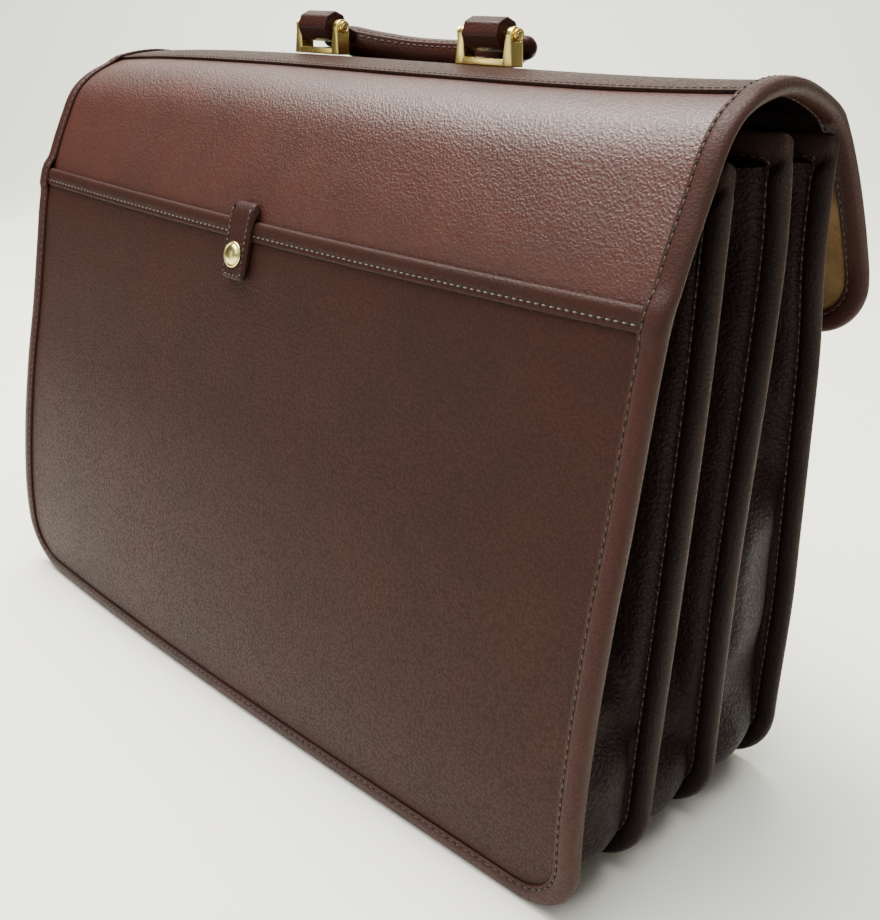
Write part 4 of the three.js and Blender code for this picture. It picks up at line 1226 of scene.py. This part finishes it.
# %% [markdown]
# Each bracket is a base bar with two ears. From the front the ears taper, and from the side their tops are
# round. Making ear and bar as separate closed bodies in one mesh keeps both shapes simple. The pins are
# turned like the snap, with a small head at each end.

# %% Brackets and pins
BRACKET_SPACING = 116.0
BRACKET_WIDTH = 34.4
BRACKET_DEPTH = 8.0
BRACKET_HEIGHT = 17.2
BRACKET_BASE = 3.3
BRACKET_WINDOW = 22.6
EAR_LEAN = 1.4
BRACKET_BEVEL = 0.5
PIN_HEIGHT = 13.6
seat = back.place(BRACKET_SPACING / 2, handle_station, STRIP_LAYER + GAP)
pin_axis = np.array([0.0, seat[1], seat[2] + PIN_HEIGHT])


def bracket_body():
    """Two leaning ears and the bar between them."""
    half = BRACKET_WIDTH / 2
    window = BRACKET_WINDOW / 2
    deep = BRACKET_DEPTH / 2
    tall = BRACKET_HEIGHT
    dome = [(deep * math.cos(a), tall - deep + deep * math.sin(a)) for a in np.linspace(0.0, math.pi, 13)]
    side = [(-deep, 0.0), (deep, 0.0), *dome]
    parts = []
    for hand in (-1, 1):

        def lean(end, height, hand=hand):
            share = height / tall
            outer = half - EAR_LEAN * share
            inner = window + EAR_LEAN * share
            return hand * (outer if end else inner)

        parts.append(bevelled(*extruded(side, 0, 1, lean), BRACKET_BEVEL))
    bar = [(-deep, 0.0), (deep, 0.0), (deep, BRACKET_BASE), (-deep, BRACKET_BASE)]
    parts.append(bevelled(*extruded(bar, -window - 1.5, window + 1.5), BRACKET_BEVEL))
    return joined(parts)


PIN_RADIUS = 2.0
PIN_HEAD = 3.0
shoulder = BRACKET_WIDTH / 2 - EAR_LEAN * (PIN_HEIGHT - PIN_HEAD) / BRACKET_HEIGHT + GAP
pin_end = shoulder + 1.3
pin_half = [
    (PIN_RADIUS, shoulder), (PIN_HEAD - 0.1, shoulder), (PIN_HEAD, shoulder + 0.15), (PIN_HEAD, pin_end - 0.35),
    (PIN_HEAD - 0.35, pin_end), (2.05, pin_end), (1.8, pin_end - 0.3), (1.55, pin_end), (0.8, pin_end + 0.1),
]
pin_outline = [(0, -pin_end - 0.12), *[(r, -h) for r, h in pin_half[::-1]], *pin_half, (0, pin_end + 0.12)]
bracket_points, bracket_faces = bracket_body()
pin_points, pin_faces = turned(pin_outline, 32)
for side, hand in (("left", -1), ("right", 1)):
    place = np.array([hand * BRACKET_SPACING / 2, seat[1], seat[2]])
    add_mesh(f"bracket_{side}", place + bracket_points, bracket_faces, "case", brass,
             [f"{side}_bracket"])
    turned_over = pin_points[:, [2, 0, 1]]
    add_mesh(f"pin_{side}", place + np.array([0, 0, PIN_HEIGHT]) + turned_over, pin_faces, "case", brass,
             [f"{side}_pin"])

# %% [markdown]
# The grip is leather rolled round a cord and closed by one seam along its upper side. It is swept along a
# flat curve, a little thinner at its ends, and the seam stands up as a narrow ridge.

# %% Grip
GRIP_RADIUS = 7.7
GRIP_REACH = 33.0
GRIP_END = 71.0
GRIP_END_REACH = 14.5
HANDLE_DROP = 21.0
GRIP_RINGS = 110
GRIP_SIDES = 32
SEAM_ANGLE = math.radians(24)
SEAM_RIDGE = 0.7


def grip_path():
    """The grip's middle line, with the pins at zero."""
    shares = ((1.0, 0.0), (0.86, 0.17), (0.6, 0.62), (0.3, 0.93))
    reach = GRIP_REACH - GRIP_END_REACH
    half = [(-x * GRIP_END, GRIP_END_REACH + y * reach) for x, y in shares]
    return smooth_curve([*half, (0.0, GRIP_REACH), *[(-x, y) for x, y in half[::-1]]], 16)


def grip_rings():
    """Centres, cross directions and radii along the grip."""
    path = grip_path()
    run = np.concatenate([[0.0], np.cumsum(np.linalg.norm(np.diff(path, axis=0), axis=1))])
    at = np.linspace(0.0, run[-1], GRIP_RINGS)
    centre = np.stack([np.interp(at, run, path[:, 0]), np.interp(at, run, path[:, 1])], axis=-1)
    along = np.gradient(centre, axis=0)
    along /= np.linalg.norm(along, axis=1, keepdims=True)
    across = np.stack([along[:, 1], -along[:, 0]], axis=-1)
    from_end = np.minimum(at, run[-1] - at) / run[-1]
    radius = GRIP_RADIUS * (0.66 + 0.34 * smoothstep(from_end, 0.0, 0.12))
    radius *= np.sqrt(np.clip(from_end / 0.012, 0.25, 1.0))
    return centre, across, radius


def grip_points(angle, lift, centre, across, radius):
    """Points on the grip's skin at an angle, raised by lift."""
    r = radius + lift
    side = r * np.cos(angle)
    flat = centre + across * side[:, None]
    return np.column_stack([flat, r * np.sin(angle)])


def on_pins(points):
    """From the handle's own frame, pins at zero, to its place on the case."""
    drop = -math.radians(HANDLE_DROP)
    y = points[..., 1] * math.cos(drop) - points[..., 2] * math.sin(drop)
    z = points[..., 1] * math.sin(drop) + points[..., 2] * math.cos(drop)
    return np.stack([points[..., 0], y, z], axis=-1) + pin_axis


def grip_body():
    """The rolled leather with its seam's ridge, closed at both ends."""
    centre, across, radius = grip_rings()
    columns = []
    for j in range(GRIP_SIDES):
        angle = 2 * math.pi * j / GRIP_SIDES
        off = (angle - SEAM_ANGLE + math.pi) % (2 * math.pi) - math.pi
        columns.append(grip_points(angle, SEAM_RIDGE * math.exp(-((off / 0.16) ** 2)), centre, across, radius))
    points = np.stack(columns, axis=1).reshape(-1, 3)
    faces = []
    for i in range(GRIP_RINGS - 1):
        for j in range(GRIP_SIDES):
            k = (j + 1) % GRIP_SIDES
            a = i * GRIP_SIDES
            faces.append([a + j, a + k, a + GRIP_SIDES + k, a + GRIP_SIDES + j])
    faces.append(list(range(GRIP_SIDES))[::-1])
    faces.append([(GRIP_RINGS - 1) * GRIP_SIDES + j for j in range(GRIP_SIDES)])
    return points, faces


grip = grip_body()
print("grip:", len(grip[1]), "faces")

# %% [markdown]
# The loops that hold the grip to the pins are stiff, folded leather with creased corners, so they are
# faceted barrels rather than round ones. Grip and loops are one piece, since they turn together.

# %% Loops and handle
LOOP_WIDTH = 21.6
LOOP_RADIUS = 7.5
LOOP_TAB = 6.4
LOOP_CORNER = 1.03
LOOP_BEVEL = 1.3


def loop_body(middle):
    """A folded loop: an eight-sided barrel round the pin and a flat tab out to the grip."""
    corner = LOOP_RADIUS * LOOP_CORNER
    turns = [math.radians(22.5 + 45 * i) for i in range(8)]
    barrel = [(corner * math.cos(turn), corner * math.sin(turn)) for turn in turns]
    half = LOOP_TAB / 2
    outline = [(GRIP_END_REACH, -half), (GRIP_END_REACH, half), *barrel]
    points, faces = extruded(outline, middle - LOOP_WIDTH / 2, middle + LOOP_WIDTH / 2)
    return bevelled(points, faces, LOOP_BEVEL, 4)


handle_points, handle_faces = joined([grip, loop_body(-BRACKET_SPACING / 2), loop_body(BRACKET_SPACING / 2)])
add_mesh("grip_and_loops", on_pins(handle_points), handle_faces, "handle", grip_leather, ["handle"])

# %% [markdown]
# The closure on the hidden front is left plain: a plate on the flap and its catch on the panel behind it,
# rounded at the corners and bevelled.

# %% Clasp and catch
CLASP = (34.0, 32.0)
CATCH = (30.0, 24.0)
PLATE_THICK = 2.5
PLATE_CORNER = 5.0
CATCH_PLACE = 172.0


def add_plate(name, size, leaf, s, n, node):
    """A rounded plate standing on a leaf."""
    wide, tall = size[0] / 2 - PLATE_CORNER, size[1] / 2 - PLATE_CORNER
    outline = []
    for quarter, (a, b) in enumerate(((wide, tall), (-wide, tall), (-wide, -tall), (wide, -tall))):
        for step in range(7):
            turn = math.pi / 2 * (quarter + step / 6)
            outline.append((a + PLATE_CORNER * math.cos(turn), b + PLATE_CORNER * math.sin(turn)))
    points, faces = bevelled(*extruded(outline, 0.0, PLATE_THICK), 0.6)
    foot, directions = standing_frame(leaf, 0.0, s, n)
    return add_mesh(name, foot + points[:, [1, 2, 0]] @ directions, faces, "case", brass, [node])


add_plate("clasp", CLASP, back, back.length - FLAP_CORNER, GAP, "flap_clasp")
add_plate("catch", CATCH, front, CATCH_PLACE, -PANEL_THICK - 2 * GAP - PLATE_THICK, "clasp_catch")

# %% [markdown]
# Thousands of stitches would be slow to place by hand and heavy to keep as separate objects. A Geometry
# Nodes rule walks each seam line, spaces points evenly by the pitch, and sets a small bead on each: it
# lies along the seam, flat to the leather. Run once with thread and once more, shifted half a pitch, it
# also makes the dark needle holes between.

# %% The stitching rule
BEAD_SEGMENTS = 6
BEAD_RINGS = 4


def stitching_rule():
    """Edge lines in, one bead for each stitch out."""
    tree = bpy.data.node_groups.new("stitches", "GeometryNodeTree")
    for name, kind in (
        ("Lines", "NodeSocketGeometry"), ("Pitch", "NodeSocketFloat"), ("Length", "NodeSocketFloat"),
        ("Width", "NodeSocketFloat"), ("Shift", "NodeSocketFloat"), ("Finish", "NodeSocketMaterial"),
    ):
        tree.interface.new_socket(name, in_out="INPUT", socket_type=kind)
    tree.interface.new_socket("Stitches", in_out="OUTPUT", socket_type="NodeSocketGeometry")
    given = tree.nodes.new("NodeGroupInput").outputs

    def add(kind, **links):
        node = tree.nodes.new(kind)
        for name, source in links.items():
            tree.links.new(source, node.inputs[name.replace("_", " ")])
        return node

    curve = add("GeometryNodeMeshToCurve", Mesh=given["Lines"]).outputs["Curve"]
    spaced = add("GeometryNodeResampleCurve", Curve=curve)
    spaced.mode = "LENGTH"
    tree.links.new(given["Pitch"], spaced.inputs["Length"])
    tangent = add("GeometryNodeInputTangent").outputs["Tangent"]
    shift = add("ShaderNodeVectorMath")
    shift.operation = "SCALE"
    tree.links.new(tangent, shift.inputs[0])
    tree.links.new(given["Shift"], shift.inputs["Scale"])
    moved = add("GeometryNodeSetPosition", Geometry=spaced.outputs["Curve"], Offset=shift.outputs["Vector"])
    up = add("GeometryNodeInputNamedAttribute")
    up.data_type = "FLOAT_VECTOR"
    up.inputs["Name"].default_value = "out"
    turn = add("FunctionNodeAxesToRotation")
    turn.primary_axis = "X"
    turn.secondary_axis = "Z"
    tree.links.new(tangent, turn.inputs[0])
    tree.links.new(up.outputs["Attribute"], turn.inputs[1])
    bead = add("GeometryNodeMeshUVSphere")
    bead.inputs["Segments"].default_value = BEAD_SEGMENTS
    bead.inputs["Rings"].default_value = BEAD_RINGS
    bead.inputs["Radius"].default_value = 0.5
    size = add("ShaderNodeCombineXYZ", X=given["Length"], Y=given["Width"], Z=given["Width"])
    set_out = add("GeometryNodeInstanceOnPoints", Points=moved.outputs["Geometry"], Instance=bead.outputs["Mesh"],
                  Rotation=turn.outputs[0], Scale=size.outputs["Vector"])
    real = add("GeometryNodeRealizeInstances", Geometry=set_out.outputs["Instances"])
    smooth = add("GeometryNodeSetShadeSmooth", Geometry=real.outputs["Geometry"])
    painted = add("GeometryNodeSetMaterial", Geometry=smooth.outputs["Geometry"], Material=given["Finish"])
    result = tree.nodes.new("NodeGroupOutput")
    tree.links.new(painted.outputs["Geometry"], result.inputs["Stitches"])
    return tree


stitches_rule = stitching_rule()
print("stitching rule:", len(stitches_rule.nodes), "nodes")

# %% [markdown]
# A seam is a line of points with the direction out of the leather at each. It comes from the same leaf rule
# as the leather, so it can't drift off its edge. The rule runs on the line as a modifier, and what it makes
# is kept as a plain mesh, because the modifier's own line has no surface to hand over.

# %% Stitches along a seam line
STITCH_PITCH = 4.0
STITCH_LENGTH = 2.9
STITCH_WIDTH = 0.85
HOLE_LENGTH = 1.9
HOLE_WIDTH = 1.15


def add_stitches(name, lines, body, pitch=STITCH_PITCH, length=STITCH_LENGTH, width=STITCH_WIDTH, shift=0.0,
                 finish=None):
    """Stitches along seam lines. Each line is its points, the directions out of the leather, closed or not."""
    finish = finish or thread
    points, outs, edges, start = [], [], [], 0
    for line, out, closed in lines:
        count = len(line)
        points.append((np.asarray(line) - case_shift) * MM)
        outs.append(out)
        edges += [(start + i, start + i + 1) for i in range(count - 1)]
        if closed:
            edges.append((start + count - 1, start))
        start += count
    mesh = bpy.data.meshes.new(name + "_lines")
    mesh.from_pydata(np.concatenate(points).tolist(), edges, [])
    mesh.attributes.new("out", "FLOAT_VECTOR", "POINT").data.foreach_set("vector", np.concatenate(outs).ravel())
    guide = bpy.data.objects.new(name + "_lines", mesh)
    bpy.context.scene.collection.objects.link(guide)
    modifier = guide.modifiers.new("stitches", "NODES")
    modifier.node_group = stitches_rule
    values = {
        "Pitch": pitch * MM, "Length": length * MM, "Width": width * MM, "Shift": shift * MM, "Finish": finish,
    }
    for item in stitches_rule.interface.items_tree:
        if item.name in values:
            modifier[item.identifier] = values[item.name]
    done = bpy.data.meshes.new_from_object(guide.evaluated_get(bpy.context.evaluated_depsgraph_get()))
    done.name = name
    piece = bpy.data.objects.new(name, done)
    bpy.context.scene.collection.objects.link(piece)
    bpy.data.objects.remove(guide)
    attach(piece, body)
    print(name, len(done.polygons), "faces")


def seam_line(leaf, x, s, n, closed=False):
    """A line on a leaf with the directions out of the leather along it."""
    line = leaf.place(x, s, n)
    out = leaf.place(x, s, np.asarray(n) + 1.0) - line
    return line, out / np.linalg.norm(out, axis=1, keepdims=True), closed


def sew(name, lines, body, finish=None, **values):
    """Thread, and the needle holes between."""
    pitch = values.get("pitch", STITCH_PITCH)
    add_stitches(name, lines, body, finish=finish, **values)
    add_stitches(name + "_holes", lines, body, pitch=pitch, length=HOLE_LENGTH, width=HOLE_WIDTH,
                 shift=pitch / 2, finish=needle_hole)


print("stitches:", STITCH_LENGTH, "mm long, every", STITCH_PITCH, "mm")

# %% [markdown]
# The edges are sewn by machine through all layers, a millimetre and a half inside the binding's edge, so
# each seam shows on both faces. The line reads the same rule as the binding, so it lies in its groove.

# %% Seams round the edges
THREAD_SINK = 0.22


def edge_seam(leaf, reach_out, head_width, outside=True):
    """The seam line round one face of a leaf's binding."""
    _, rim = leaf.outline(0.0)
    out, back_side = reach_out(rim)
    x, s = leaf.outline_at(band_width(leaf, rim, head_width) - SEAM_MARGIN)
    n = out - THREAD_SINK if outside else back_side + THREAD_SINK
    line, direction, closed = seam_line(leaf, x, s, n, True)
    return line, direction if outside else -direction, closed


sew("back_seam", [edge_seam(back, back_reach, EDGE_WIDTH)], "case")
add_stitches("back_seam_inside", [edge_seam(back, back_reach, EDGE_WIDTH, outside=False)], "case")
for label, leaf, thick, behind, _ in UPRIGHTS:
    reach_out = upright_reach(leaf, thick, behind)
    sew(f"{label}_seam", [edge_seam(leaf, reach_out, TOP_BAND)], "case")
    add_stitches(f"{label}_seam_outside", [edge_seam(leaf, reach_out, TOP_BAND, outside=False)], "case")

# %% [markdown]
# Hem and tab are sewn in a paler thread, finer than the edges. The strip under the handle has a row of
# small stitches along each side, and the grip's seam has one on each side of its ridge.

# %% Seams of the hem, strip, tab and grip
HEM_PITCH = 3.5
STRIP_PITCH = 3.2
STRIP_SEAM = 2.3
TAB_SEAM = 2.0
GRIP_PITCH = 4.0
LINE_STEPS = 240
TAB_STEPS = 40
TAB_END_STEPS = 20
PLAIN_RINGS = 9

hem_x = np.linspace(-HEM_HALF_WIDTH + 1.5, HEM_HALF_WIDTH - 1.5, LINE_STEPS)
hem_line = seam_line(back, hem_x, pocket_edge(hem_x) - HEM_SEAM, hem_face + 0.8)
sew("hem_seam", [hem_line], "case", pitch=HEM_PITCH, length=2.3, width=0.8, finish=pale_thread)
strip_x = np.linspace(-CASE_WIDTH / 2 + BINDING_WIDTH + 1, CASE_WIDTH / 2 - BINDING_WIDTH - 1, LINE_STEPS)
strip_lines = [
    seam_line(back, strip_x, np.full(LINE_STEPS, at), np.full(LINE_STEPS, STRIP_LAYER + 0.08))
    for at in (strip_start + STRIP_SEAM, strip_end - STRIP_SEAM)
]
add_stitches("strip_seam", strip_lines, "case", pitch=STRIP_PITCH, length=2.4, width=0.7)

tab_s = np.linspace(tab_top + 5.0, tab_end + TAB_SEAM, TAB_STEPS)
tab_half = TAB_WIDTH / 2 - TAB_SEAM
tab_side = np.full(TAB_STEPS, tab_half)
tab_low = np.linspace(tab_half, -tab_half, TAB_END_STEPS)[1:-1]
tab_x = TAB_PLACE + np.concatenate([tab_side, tab_low, -tab_side])
tab_line = np.concatenate([tab_s, np.full(len(tab_low), tab_end + TAB_SEAM), tab_s[::-1]])
tab_n = np.full(len(tab_x), tab_back + TAB_THICK + 0.02)
sew("tab_seam", [seam_line(back, tab_x, tab_line, tab_n)], "case", pitch=2.9, length=1.9, width=0.65,
    finish=pale_thread)

centre, across, radius = grip_rings()
kept = slice(PLAIN_RINGS, -PLAIN_RINGS)
grip_lines = []
for angle in (SEAM_ANGLE - 0.24, SEAM_ANGLE + 0.24):
    line = on_pins(grip_points(angle, 0.1, centre, across, radius))
    raised = on_pins(grip_points(angle, 1.1, centre, across, radius))
    grip_lines.append((line[kept], (raised - line)[kept], False))
add_stitches("grip_seam", grip_lines, "handle", pitch=GRIP_PITCH, length=2.8, width=0.8)
